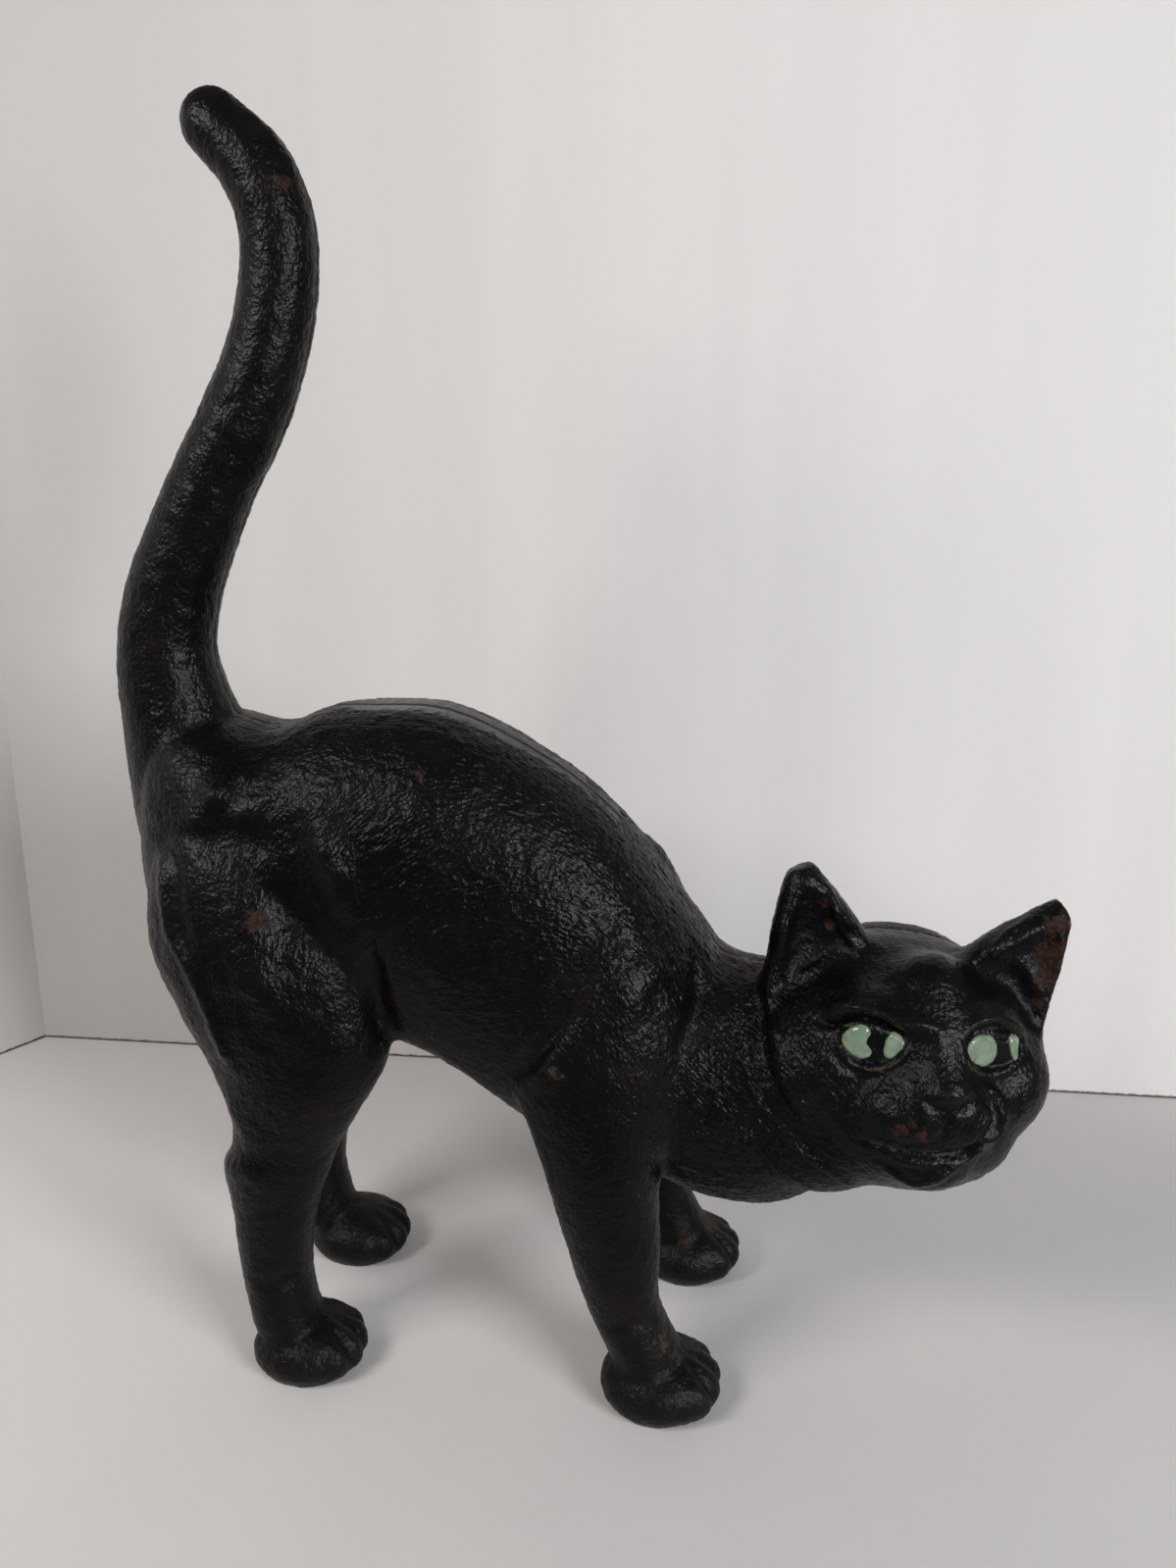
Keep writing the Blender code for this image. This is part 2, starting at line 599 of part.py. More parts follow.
def build():
    clear_scene()
    figure = whole_figure()
    core = hollow_core()
    bosses = cylinder("bosses", *screw_place, boss_diameter, -beyond, beyond)
    posts = cylinder("posts", *neck_pin_place, neck_post_diameter, -beyond, beyond)
    combine(core, "DIFFERENCE", bosses, posts)
    far_flank = flank_y(figure, *screw_place, 1)
    head_y = far_flank - head_sink

    right_half = half_casting("right_half", figure, core, -1)
    left_half = half_casting("left_half", figure, core, 1)
    bpy.data.objects.remove(figure, do_unlink=True)
    bpy.data.objects.remove(core, do_unlink=True)

    thread_room = thread_diameter + 2 * fit_gap
    hole = cylinder("tapped", *screw_place, thread_room, -thread_grip - fit_gap, seam_gap)
    combine(right_half, "DIFFERENCE", hole)
    combine(left_half, "DIFFERENCE", screw_room(head_y, far_flank))
    for x, z in (tail_pin_place, neck_pin_place):
        combine(right_half, "UNION", cylinder("pin", x, z, pin_diameter, -pin_length, pin_length))
        socket = cylinder("socket", x, z, pin_diameter + 2 * fit_gap, -seam_gap, pin_length + fit_gap)
        combine(left_half, "DIFFERENCE", socket)
    assembly_screw = screw(head_y)

    finish(right_half, iron_colour, iron_roughness, 0.0)
    finish(left_half, iron_colour, iron_roughness, 0.0)
    finish(assembly_screw, steel_colour, steel_roughness, 1.0)
    stand_on_origin([right_half, left_half, assembly_screw])
    for thing in (right_half, left_half, assembly_screw):
        print(thing.name, len(thing.data.polygons), "faces")


build()
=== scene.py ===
# Looks of a cast iron doorstop, a standing cat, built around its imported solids
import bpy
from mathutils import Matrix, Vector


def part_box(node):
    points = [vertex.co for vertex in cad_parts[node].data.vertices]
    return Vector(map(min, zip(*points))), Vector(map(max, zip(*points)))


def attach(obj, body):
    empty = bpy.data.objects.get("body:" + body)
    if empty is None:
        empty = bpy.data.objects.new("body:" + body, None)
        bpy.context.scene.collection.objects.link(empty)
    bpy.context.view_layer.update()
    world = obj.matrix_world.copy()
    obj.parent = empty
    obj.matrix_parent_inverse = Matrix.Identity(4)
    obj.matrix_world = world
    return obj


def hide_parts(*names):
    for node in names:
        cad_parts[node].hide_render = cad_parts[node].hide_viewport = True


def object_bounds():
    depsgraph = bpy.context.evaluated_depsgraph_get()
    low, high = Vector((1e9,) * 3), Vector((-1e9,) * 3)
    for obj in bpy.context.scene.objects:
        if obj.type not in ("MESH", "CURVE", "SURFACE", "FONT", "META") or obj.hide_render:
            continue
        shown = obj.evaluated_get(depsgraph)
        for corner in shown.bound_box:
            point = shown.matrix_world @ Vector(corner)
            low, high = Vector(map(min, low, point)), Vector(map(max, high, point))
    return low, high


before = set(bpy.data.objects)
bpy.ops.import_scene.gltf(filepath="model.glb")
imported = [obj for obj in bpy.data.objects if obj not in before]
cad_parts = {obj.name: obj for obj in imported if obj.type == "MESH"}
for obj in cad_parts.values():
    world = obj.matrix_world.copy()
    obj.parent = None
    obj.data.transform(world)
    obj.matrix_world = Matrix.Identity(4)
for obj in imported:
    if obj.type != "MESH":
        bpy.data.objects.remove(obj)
cadBox = [list(corner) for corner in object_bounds()]

import math

import bmesh
import bpy
import numpy as np
from mathutils import Matrix, Vector, noise
from mathutils.bvhtree import BVHTree
from mathutils.kdtree import KDTree

mm = 0.001

# The pattern: outlines of trunk, neck, tail and legs in metres, x towards the head, z up, the seam at y = 0
catBody = {
    "grain": 0.00050,  # finest form kept, in metres
    "rounds": 15,
    # back edge x, z, belly edge x, z, half width
    "trunk": [
        (-0.0930, 0.1400, -0.0940, 0.1000, 0.0100),
        (-0.0870, 0.1470, -0.0880, 0.0910, 0.0185),
        (-0.0760, 0.1475, -0.0770, 0.0840, 0.0250),
        (-0.0640, 0.1450, -0.0620, 0.0790, 0.0275),
        (-0.0520, 0.1490, -0.0500, 0.0765, 0.0280),
        (-0.0390, 0.1505, -0.0370, 0.0750, 0.0280),
        (-0.0240, 0.1490, -0.0240, 0.0685, 0.0285),
        (-0.0070, 0.1405, -0.0090, 0.0575, 0.0280),
        (0.0090, 0.1285, 0.0050, 0.0500, 0.0265),
        (0.0230, 0.1105, 0.0170, 0.0480, 0.0235),
        (0.0320, 0.0990, 0.0280, 0.0490, 0.0190),
    ],
    # nape x, z, throat x, z, half width, middle y, turn in degrees
    "neck": [
        (0.0050, 0.1280, 0.0010, 0.0580, 0.0260, 0.0000, 0),
        (0.0200, 0.1095, 0.0150, 0.0480, 0.0254, -0.0005, 3),
        (0.0300, 0.0985, 0.0275, 0.0420, 0.0252, -0.0012, 6),
        (0.0400, 0.0945, 0.0390, 0.0402, 0.0250, -0.0022, 9),
        (0.0520, 0.0962, 0.0510, 0.0415, 0.0235, -0.0034, 12),
        (0.0650, 0.1005, 0.0640, 0.0500, 0.0200, -0.0050, 14),
    ],
    # x, z, radius
    "tail": [
        (-0.0760, 0.1140, 0.0190),
        (-0.0820, 0.1310, 0.0160),
        (-0.0864, 0.1470, 0.0122),
        (-0.0879, 0.1610, 0.0106),
        (-0.0850, 0.1740, 0.0099),
        (-0.0799, 0.1860, 0.0093),
        (-0.0736, 0.1980, 0.0089),
        (-0.0668, 0.2100, 0.0087),
        (-0.0617, 0.2215, 0.0083),
        (-0.0585, 0.2330, 0.0079),
        (-0.0577, 0.2450, 0.0076),
        (-0.0617, 0.2560, 0.0073),
        (-0.0692, 0.2638, 0.0065),
    ],
    # z, back edge and front edge from the sole's middle, half width, lean inwards
    "foreLeg": [
        (0.0100, -0.0100, 0.0060, 0.0085, 0.0000),
        (0.0240, -0.0162, 0.0000, 0.0080, 0.0000),
        (0.0380, -0.0208, -0.0005, 0.0087, 0.0005),
        (0.0500, -0.0242, -0.0008, 0.0098, 0.0015),
        (0.0620, -0.0283, 0.0005, 0.0112, 0.0030),
        (0.0780, -0.0340, 0.0020, 0.0126, 0.0052),
        (0.0960, -0.0325, 0.0005, 0.0122, 0.0080),
        (0.1120, -0.0270, -0.0050, 0.0085, 0.0115),
        (0.1190, -0.0230, -0.0100, 0.0040, 0.0135),
    ],
    "hindLeg": [
        (0.0100, -0.0115, 0.0035, 0.0088, 0.0000),
        (0.0250, -0.0140, 0.0015, 0.0079, 0.0000),
        (0.0400, -0.0152, 0.0040, 0.0081, 0.0000),
        (0.0500, -0.0162, 0.0074, 0.0088, 0.0000),
        (0.0570, -0.0142, 0.0100, 0.0094, 0.0005),
        (0.0660, -0.0146, 0.0154, 0.0108, 0.0010),
        (0.0760, -0.0190, 0.0208, 0.0124, 0.0020),
        (0.0880, -0.0252, 0.0212, 0.0144, 0.0032),
        (0.1040, -0.0306, 0.0170, 0.0152, 0.0050),
        (0.1220, -0.0285, 0.0050, 0.0132, 0.0080),
        (0.1360, -0.0220, -0.0050, 0.0075, 0.0115),
    ],
    # sole middle x, y, how far the leg stands behind it, size of the paw
    "corners": {
        "nearFront": ("foreLeg", 0.0225, -0.0252, 0.0000, 1.00),
        "farFront": ("foreLeg", 0.0265, 0.0230, 0.0000, 1.00),
        "nearRear": ("hindLeg", -0.0580, -0.0222, 0.0002, 0.97),
        "farRear": ("hindLeg", -0.0588, 0.0210, 0.0046, 0.97),
    },
    "paw": (0.0264, 0.0242, 0.0164),  # length, width, height of a fore paw
    "soleSink": 0.0032,
    "toe": 0.0050,
    "toeSpread": 27,
    "toes": 4,
}

catHead = {
    "middle": (0.0711, -0.0100, 0.0846),
    "turn": 9,
    "lift": 7,
    "tip": 9,
    # middle, half sizes, in the head's own frame
    "forms": {
        "skull": ((0.0000, 0.0045, -0.0032), (0.0293, 0.0250, 0.0234)),
        "rightCheek": ((-0.0176, -0.0022, -0.0085), (0.0150, 0.0170, 0.0165)),
        "leftCheek": ((0.0180, -0.0030, -0.0056), (0.0134, 0.0168, 0.0142)),
        "jaw": ((0.0010, -0.0045, -0.0172), (0.0250, 0.0185, 0.0142)),
        "ruff": ((-0.0140, -0.0010, -0.0236), (0.0170, 0.0155, 0.0128)),
        "forehead": ((0.0003, -0.0058, 0.0052), (0.0232, 0.0128, 0.0108)),
        "muzzle": ((0.0024, -0.0155, -0.0092), (0.0138, 0.0122, 0.0118)),
        "rightPad": ((-0.0034, -0.0190, -0.0112), (0.0092, 0.0080, 0.0076)),
        "leftPad": ((0.0088, -0.0190, -0.0102), (0.0086, 0.0080, 0.0074)),
        "chin": ((0.0032, -0.0178, -0.0202), (0.0104, 0.0078, 0.0064)),
        "rightEye": ((-0.0120, -0.0140, 0.0034), (0.0076, 0.0064, 0.0060)),
        "leftEye": ((0.0126, -0.0140, 0.0050), (0.0076, 0.0064, 0.0060)),
    },
    # x, y, z, radius along the ridge
    "nose": [
        (0.0004, -0.0100, 0.0115, 0.0096),
        (0.0010, -0.0135, 0.0064, 0.0090),
        (0.0018, -0.0176, 0.0012, 0.0080),
        (0.0025, -0.0218, -0.0030, 0.0060),
    ],
    "rightBrow": [
        (-0.0185, -0.0085, 0.0084, 0.0026),
        (-0.0130, -0.0155, 0.0096, 0.0030),
        (-0.0075, -0.0184, 0.0084, 0.0030),
        (-0.0040, -0.0192, 0.0060, 0.0028),
    ],
    "leftBrow": [
        (0.0190, -0.0085, 0.0098, 0.0026),
        (0.0138, -0.0153, 0.0110, 0.0030),
        (0.0086, -0.0184, 0.0096, 0.0030),
        (0.0052, -0.0192, 0.0070, 0.0028),
    ],
    # inner foot, outer foot, tip (x, z), depth of the middle
    "rightEar": ((-0.0126, 0.0178), (-0.0293, 0.0080), (-0.0284, 0.0342), -0.0005),
    "leftEar": ((0.0132, 0.0204), (0.0262, 0.0035), (0.0286, 0.0336), -0.0045),
    "earDepth": 0.0120,
    "earTip": 0.0028,
    "earRim": 0.0024,
}

casting = {
    "wall": 0.0042,
    "seamGap": 0.0003,  # between the solids
    "seamOpen": 0.0,  # here the faces touch, so that no light shows through
    "coreGrain": 0.0030,
    "boss": 0.0150,
    "thread": 0.0060,
    "grip": 0.0150,
    "headWide": 0.0115,
    "headHigh": 0.0034,
    "slotWide": 0.0014,
    "slotDeep": 0.0016,
    "play": 0.0003,
    "pin": (0.0044, 0.0036),  # diameter, length
    "tailPin": (-0.0722, 0.2005),
    "neckPin": (0.0520, 0.0745),
    "neckPost": 0.0110,
    "facesInAll": 163400,  # of the figure, before it is parted
    "room": 0.06,  # from the seam to past either flank
    "beyond": 0.004,
    "seamCuts": 70,  # small squares on the parting plane keep its long cut clean
}

# Where the joins of the forms are worked smooth: middle and reach in millimetres, how much
softening = {
    "rounds": 200,
    "patches": [
        ((-58, 24, 108), 34, 1.0),
        ((-58, -24, 108), 34, 1.0),
        ((12, 24, 86), 30, 1.0),
        ((12, -24, 86), 30, 1.0),
        ((28, 0, 66), 26, 1.0),
        ((40, -8, 76), 24, 1.0),
        ((-82, 0, 138), 22, 0.9),
        ((-30, 0, 112), 40, 0.6),
        ((-66, -22, 60), 18, 0.25),
        ((-66, 22, 60), 18, 0.25),
        ((71, -10, 78), 36, 0.6),
        ((72, -18, 104), 27, 1.0),
        ((52, -14, 98), 17, 1.0),
        ((92, -12, 96), 17, 1.0),
        ((90, -12, 78), 18, 1.0),
        ((48, -16, 78), 22, 1.0),
        ((26, -24, 24), 12, 0.2),
        ((-58, -22, 24), 12, 0.2),
        ((30, 23, 24), 12, 0.2),
        ((-59, 21, 24), 12, 0.2),
    ],
}

# The photograph's view in the figure's own frame: millimetres, degrees and picture points
view = {
    "place": (33.5, -262.0, 206.0),
    "turn": 6.5,
    "down": 15.4,
    "focal": 1300.0,
    "wide": 1199,
    "high": 1599,
}

# Modelling strokes: amount out of the surface and width in millimetres, then points of the photograph,
# counted from its upper left. These are worked on both flanks.
flankStrokes = [
    (-1.5, 2.6, [(704, 975), (713, 1008), (709, 1038), (700, 1062), (693, 1090)]),
    (2.1, 6.6, [(655, 1015), (672, 1008), (684, 1030), (680, 1070)]),
    (0.8, 3.5, [(640, 1010), (658, 990), (690, 978)]),
    (-1.8, 2.2, [(521, 1106), (530, 1094), (545, 1077), (562, 1058), (582, 1036)]),
    (0.9, 2.6, [(544, 1098), (560, 1080), (576, 1060)]),
    (-2.4, 2.2, [(376, 965), (382, 1003), (388, 1034), (396, 1060)]),
    (0.9, 1.7, [(166, 878), (168, 915), (173, 950), (200, 1005), (236, 1090)]),
    (-0.9, 2.0, [(168, 860), (178, 885), (180, 930), (190, 985)]),
    (2.1, 3.2, [(203, 832), (214, 818), (228, 805), (246, 793)]),
    (1.7, 2.8, [(244, 830), (258, 824), (268, 817)]),
    (-2.3, 5.2, [(232, 856), (262, 860), (290, 858)]),
    (2.3, 3.7, [(325, 826), (328, 850), (340, 885), (354, 920)]),
    (-1.6, 4.8, [(288, 895), (298, 940), (304, 985)]),
    (1.2, 4.0, [(240, 955), (262, 1005), (296, 1050)]),
    (0.7, 3.6, [(222, 1102), (238, 1135), (252, 1162)]),
    (-0.7, 1.5, [(620, 1355), (640, 1352), (660, 1350)]),
    (-0.4, 1.5, [(270, 1312), (285, 1310), (300, 1305), (310, 1300)]),
    (0.6, 2.4, [(226, 1180), (240, 1192), (272, 1206)]),
    (-1.5, 2.2, [(670, 1187), (684, 1192), (698, 1197)]),
]

# Toe grooves of a fore paw, from its own middle, each worked on all four paws
toeGrooves = [
    (-0.8, 1.1, [(6.4, 3.4, 12.2), (10.0, 5.1, 9.0), (11.7, 5.9, 3.6)]),
    (-0.8, 1.1, [(7.0, 0.0, 12.4), (11.4, 0.0, 9.0), (13.1, 0.0, 3.4)]),
    (-0.8, 1.1, [(6.4, -3.4, 12.2), (10.0, -5.1, 9.0), (11.7, -5.9, 3.6)]),
]

# Worked once: collar, throat, ears, brows, lids, nose, mouth and the folds of the muzzle
headStrokes = [
    # collar and the furrow between neck and cheek
    (0.6, 0.9, [
        (758, 978), (762, 1005), (757, 1030), (755, 1060), (760, 1090), (773, 1122), (793, 1148),
        (820, 1176),
    ]),
    (-1.3, 2.2, [(772, 1000), (773, 1030), (774, 1060), (780, 1095), (792, 1122), (812, 1148)]),
    (0.4, 0.65, [(800, 1162), (826, 1182), (850, 1198), (872, 1209)]),
    (0.3, 0.6, [(796, 1194), (816, 1207), (832, 1214)]),
    (-0.4, 2.4, [(812, 1040), (810, 1070), (816, 1105), (828, 1130), (846, 1155), (880, 1188)]),
    # crown, ears
    (-1.0, 5.0, [(880, 966), (930, 968), (972, 968)]),
    (0.8, 0.9, [(845, 905), (852, 925), (861, 950), (878, 977)]),
    (0.6, 1.0, [(800, 930), (797, 960), (799, 985), (806, 1004)]),
    (0.6, 1.2, [(808, 990), (822, 993), (838, 982), (848, 968)]),
    (0.7, 1.0, [(1008, 978), (1018, 962), (1032, 949), (1050, 938)]),
    (1.2, 1.9, [(1024, 976), (1038, 980), (1049, 992), (1056, 1008), (1060, 1022)]),
    # brows: a heavy ridge over a dark groove
    (1.3, 1.5, [
        (842, 1030), (856, 1028), (874, 1029), (892, 1034), (909, 1041), (925, 1045), (942, 1046),
        (956, 1049),
    ]),
    (0.5, 1.3, [(852, 1031), (862, 1030), (876, 1029)]),
    (0.5, 0.9, [(904, 1042), (920, 1044), (936, 1045)]),
    (-1.9, 0.9, [
        (838, 1041), (848, 1044), (862, 1039), (878, 1037), (892, 1040), (906, 1047), (918, 1054),
        (927, 1063),
    ]),
    (0.9, 1.4, [(983, 1062), (990, 1050), (1002, 1043), (1018, 1040), (1032, 1044), (1043, 1053)]),
    (-1.4, 0.8, [(985, 1064), (993, 1054), (1006, 1048), (1020, 1048), (1034, 1052), (1041, 1060)]),
    # lower lids
    (0.5, 0.9, [(855, 1062), (860, 1076), (872, 1087), (888, 1092), (904, 1089), (918, 1080), (926, 1067)]),
    (0.5, 0.9, [(985, 1076), (990, 1089), (1002, 1097), (1014, 1096), (1026, 1091), (1037, 1084)]),
    # bridge, nose and nostrils
    (-0.5, 2.4, [(957, 1040), (957, 1024)]),
    (0.4, 1.8, [(948, 1050), (957, 1058), (961, 1068)]),
    (0.9, 1.3, [(949, 1119), (964, 1117), (978, 1116), (989, 1119)]),
    (0.8, 3.6, [(956, 1121), (976, 1123)]),
    (0.45, 0.8, [(942, 1102), (936, 1112), (938, 1124), (946, 1135)]),
    (0.45, 0.8, [(974, 1106), (989, 1112), (996, 1123), (991, 1135), (979, 1143)]),
    (-0.7, 0.7, [(947, 1123), (952, 1129), (959, 1130)]),
    (-0.7, 0.7, [(986, 1124), (981, 1131), (974, 1131)]),
    (-0.6, 0.8, [(966, 1136), (965, 1149), (961, 1164)]),
    # pads, mouth and lips
    (0.5, 1.3, [(930, 1138), (942, 1141), (955, 1147)]),
    (0.4, 2.4, [(914, 1140), (928, 1150), (944, 1154)]),
    (-1.0, 0.8, [
        (882, 1164), (900, 1169), (918, 1175), (940, 1178), (960, 1178), (982, 1175), (1002, 1167),
        (1020, 1157),
    ]),
    (0.5, 0.7, [(886, 1161), (904, 1165), (922, 1171), (944, 1173), (962, 1173)]),
    (0.6, 0.9, [(902, 1177), (922, 1184), (946, 1187), (970, 1184), (988, 1178)]),
    # folds of the muzzle, chin and cheeks
    (1.0, 0.95, [
        (1003, 1109), (1016, 1119), (1023, 1136), (1019, 1153), (1006, 1165), (990, 1176), (974, 1188),
        (946, 1206),
    ]),
    (-0.8, 0.9, [(1001, 1119), (1012, 1130), (1013, 1146), (1002, 1158)]),
    (0.6, 0.8, [(898, 1188), (915, 1200), (931, 1208), (946, 1207)]),
    (-0.6, 2.4, [(905, 1132), (893, 1148)]),
    (0.6, 2.8, [(868, 1130), (858, 1150)]),
    (0.7, 2.6, [(1052, 1088), (1054, 1112)]),
    (0.9, 1.1, [(818, 1059), (822, 1066)]),
    (0.9, 1.0, [(844, 1077), (848, 1086)]),
    (1.0, 1.2, [(856, 1094), (866, 1099)]),
]

# Outlines of the eye openings and of the drops of enamel in them, points of the photograph
eyes = {
    "rightOpening": [
        (854, 1062), (857, 1049), (869, 1041), (886, 1040), (903, 1045), (917, 1053), (926, 1064),
        (921, 1076), (908, 1085), (890, 1087), (872, 1082), (860, 1073),
    ],
    "leftOpening": [
        (985, 1066), (991, 1056), (1003, 1050), (1020, 1049), (1035, 1053), (1042, 1063), (1041, 1077),
        (1032, 1087), (1016, 1091), (1000, 1091), (990, 1082),
    ],
    "sunk": 0.7,
    "enamel": 0.65,  # height of a drop over the iron
    "shoulder": 0.62,  # share of a drop's width over which it rises
    "edgeDeep": 0.35,
    "fine": 0.22,
    "drops": {
        "enamelOuterRight": [
            (866, 1048), (876, 1044), (885, 1047), (888, 1054), (884, 1061), (885, 1066), (889, 1072),
            (886, 1078), (878, 1080), (870, 1077), (862, 1070), (858, 1062), (860, 1053),
        ],
        "enamelInnerRight": [
            (908, 1053), (917, 1054), (922, 1061), (921, 1068), (914, 1076), (907, 1080), (901, 1077),
            (901, 1070), (903, 1060),
        ],
        "enamelInnerLeft": [
            (998, 1055), (1010, 1056), (1016, 1064), (1016, 1075), (1011, 1084), (1002, 1088),
            (993, 1084), (987, 1074), (987, 1066), (992, 1058),
        ],
        "enamelOuterLeft": [
            (1029, 1056), (1035, 1055), (1039, 1060), (1038, 1069), (1038, 1077), (1034, 1082),
            (1030, 1076), (1029, 1069), (1028, 1062),
        ],
    },
}


# The outside wears enamel, and whatever is cut, hollowed or filed is raw
castSkins = [bpy.data.materials.new(name) for name in ("blackEnamelIron", "rawCastIron")]
enamelled, raw = 0, 1


def put(name, bm):
    bmesh.ops.recalc_face_normals(bm, faces=bm.faces)
    mesh = bpy.data.meshes.new(name)
    bm.to_mesh(mesh)
    bm.free()
    thing = bpy.data.objects.new(name, mesh)
    bpy.context.scene.collection.objects.link(thing)
    return thing


def skinned(thing, which):
    for material in castSkins:
        thing.data.materials.append(material)
    thing.data.polygons.foreach_set("material_index", [which] * len(thing.data.polygons))
    return thing


def drop(thing):
    mesh = thing.data
    bpy.data.objects.remove(thing, do_unlink=True)
    bpy.data.meshes.remove(mesh)


def modified(thing, kind, **settings):
    modifier = thing.modifiers.new(kind, kind)
    for key, value in settings.items():
        setattr(modifier, key, value)
    bpy.context.view_layer.update()
    evaluated = thing.evaluated_get(bpy.context.evaluated_depsgraph_get())
    mesh = bpy.data.meshes.new_from_object(evaluated)
    thing.modifiers.clear()
    old = thing.data
    thing.data = mesh
    bpy.data.meshes.remove(old)
    return thing


def combine(thing, operation, *others):
    for other in others:
        modified(thing, "BOOLEAN", operation=operation, object=other, solver="MANIFOLD")
        drop(other)
    return thing


def smoothRows(rows, steps=4):
    rows = np.array(rows, float)
    ends = np.vstack([2 * rows[0] - rows[1], rows, 2 * rows[-1] - rows[-2]])
    out = []
    for a, b, c, d in zip(ends, ends[1:], ends[2:], ends[3:]):
        for t in np.arange(steps) / steps:
            square, cube = t * t, t * t * t
            bend = (2 * a - 5 * b + 4 * c - d) * square + (3 * b - a - 3 * c + d) * cube
            out.append(0.5 * (2 * b + (c - a) * t + bend))
    out.append(rows[-1])
    return out


def skin(bm, rings):
    loops = [[bm.verts.new(point) for point in ring] for ring in rings]
    for one, two in zip(loops, loops[1:]):
        for k in range(len(one)):
            after = (k + 1) % len(one)
            bm.faces.new((one[k], one[after], two[after], two[k]))
    bm.faces.new(loops[0])
    bm.faces.new(reversed(loops[-1]))


def loft(bm, sections, squareness=2.4, sides=48):
    rings = []
    for x1, z1, x2, z2, half, y, turn in smoothRows(sections, 6):
        middle = np.array([(x1 + x2) / 2, y, (z1 + z2) / 2])
        turn = math.radians(turn)
        across = np.array([math.sin(turn), math.cos(turn), 0.0]) * half
        lean = np.array([(x1 - x2) / 2 * math.cos(turn), -(x1 - x2) / 2 * math.sin(turn), (z1 - z2) / 2])
        ring = []
        for k in range(sides):
            angle = 2 * math.pi * k / sides
            c, s = math.cos(angle), math.sin(angle)
            c = math.copysign(abs(c) ** (2 / squareness), c)
            s = math.copysign(abs(s) ** (2 / squareness), s)
            ring.append(middle + lean * c + across * s)
        rings.append(ring)
    skin(bm, rings)


def ball(bm, middle, halfSizes, place=Matrix()):
    place = place @ Matrix.Translation(middle) @ Matrix.Diagonal((*halfSizes, 1))
    bmesh.ops.create_uvsphere(bm, u_segments=40, v_segments=24, radius=1, matrix=place)


def tube(bm, points, sides=32, steps=6):
    rows = smoothRows(points, steps)
    path = np.array([row[:3] for row in rows])
    ahead = np.gradient(path, axis=0)
    rings = []
    for place, way, row in zip(path, ahead, rows):
        way = Vector(way).normalized()
        side = way.orthogonal() if abs(way.y) > 0.9 else Vector((0, 1, 0))
        side = (side - way * side.dot(way)).normalized()
        other = way.cross(side)
        angles = [2 * math.pi * k / sides for k in range(sides)]
        rings.append([Vector(place) + (side * math.cos(a) + other * math.sin(a)) * row[3] for a in angles])
    skin(bm, rings)
    for row in (rows[0], rows[-1]):
        ball(bm, row[:3], (row[3],) * 3)


def cylinder(x, z, diameter, yFrom, yTo, endDiameter=None, sides=64):
    bm = bmesh.new()
    wide = diameter if endDiameter is None else endDiameter
    place = Matrix.Translation((x, (yFrom + yTo) / 2, z)) @ Matrix.Rotation(math.radians(-90), 4, "X")
    sizes = {"radius1": diameter / 2, "radius2": wide / 2, "depth": yTo - yFrom}
    bmesh.ops.create_cone(bm, cap_ends=True, segments=sides, matrix=place, **sizes)
    return skinned(put("tool", bm), raw)


def block(low, high, cuts=0):
    bm = bmesh.new()
    low, high = Vector(low), Vector(high)
    place = Matrix.Translation((low + high) / 2) @ Matrix.Diagonal((*(high - low), 1))
    bmesh.ops.create_cube(bm, size=1, matrix=place)
    if cuts:
        bmesh.ops.subdivide_edges(bm, edges=bm.edges[:], cuts=cuts, use_grid_fill=True)
    return skinned(put("tool", bm), raw)


headPlace = (
    Matrix.Translation(catHead["middle"])
    @ Matrix.Rotation(math.radians(catHead["turn"]), 4, "Z")
    @ Matrix.Rotation(-math.radians(catHead["lift"]), 4, "X")
    @ Matrix.Rotation(math.radians(catHead["tip"]), 4, "Y")
)


def trunkAndNeck(bm):
    loft(bm, [(*row, 0.0, 0.0) for row in catBody["trunk"]])
    loft(bm, catBody["neck"], squareness=2.1)


def leg(bm, corner):
    rows, soleX, soleY, backBy, share = catBody["corners"][corner]
    inwards = -math.copysign(1, soleY)
    legX = soleX - backBy
    shape = []
    for z, back, front, half, lean in catBody[rows]:
        shape.append((legX + back, z, legX + front, z, half, soleY + inwards * lean, 0))
    loft(bm, shape, squareness=2.1, sides=36)
    length, width, height = (share * size for size in catBody["paw"])
    toe = share * catBody["toe"]
    ball(bm, (soleX, soleY, height / 2 - catBody["soleSink"]), (length / 2, width / 2, height / 2))
    for k in range(catBody["toes"]):
        angle = math.radians(catBody["toeSpread"]) * (k - (catBody["toes"] - 1) / 2)
        reachX = (length / 2 - toe + 0.6 * mm) * math.cos(angle)
        reachY = (width / 2 - toe * 0.6) * math.sin(angle)
        ball(bm, (soleX + reachX, soleY + reachY, toe), (toe, toe * 0.8, toe))


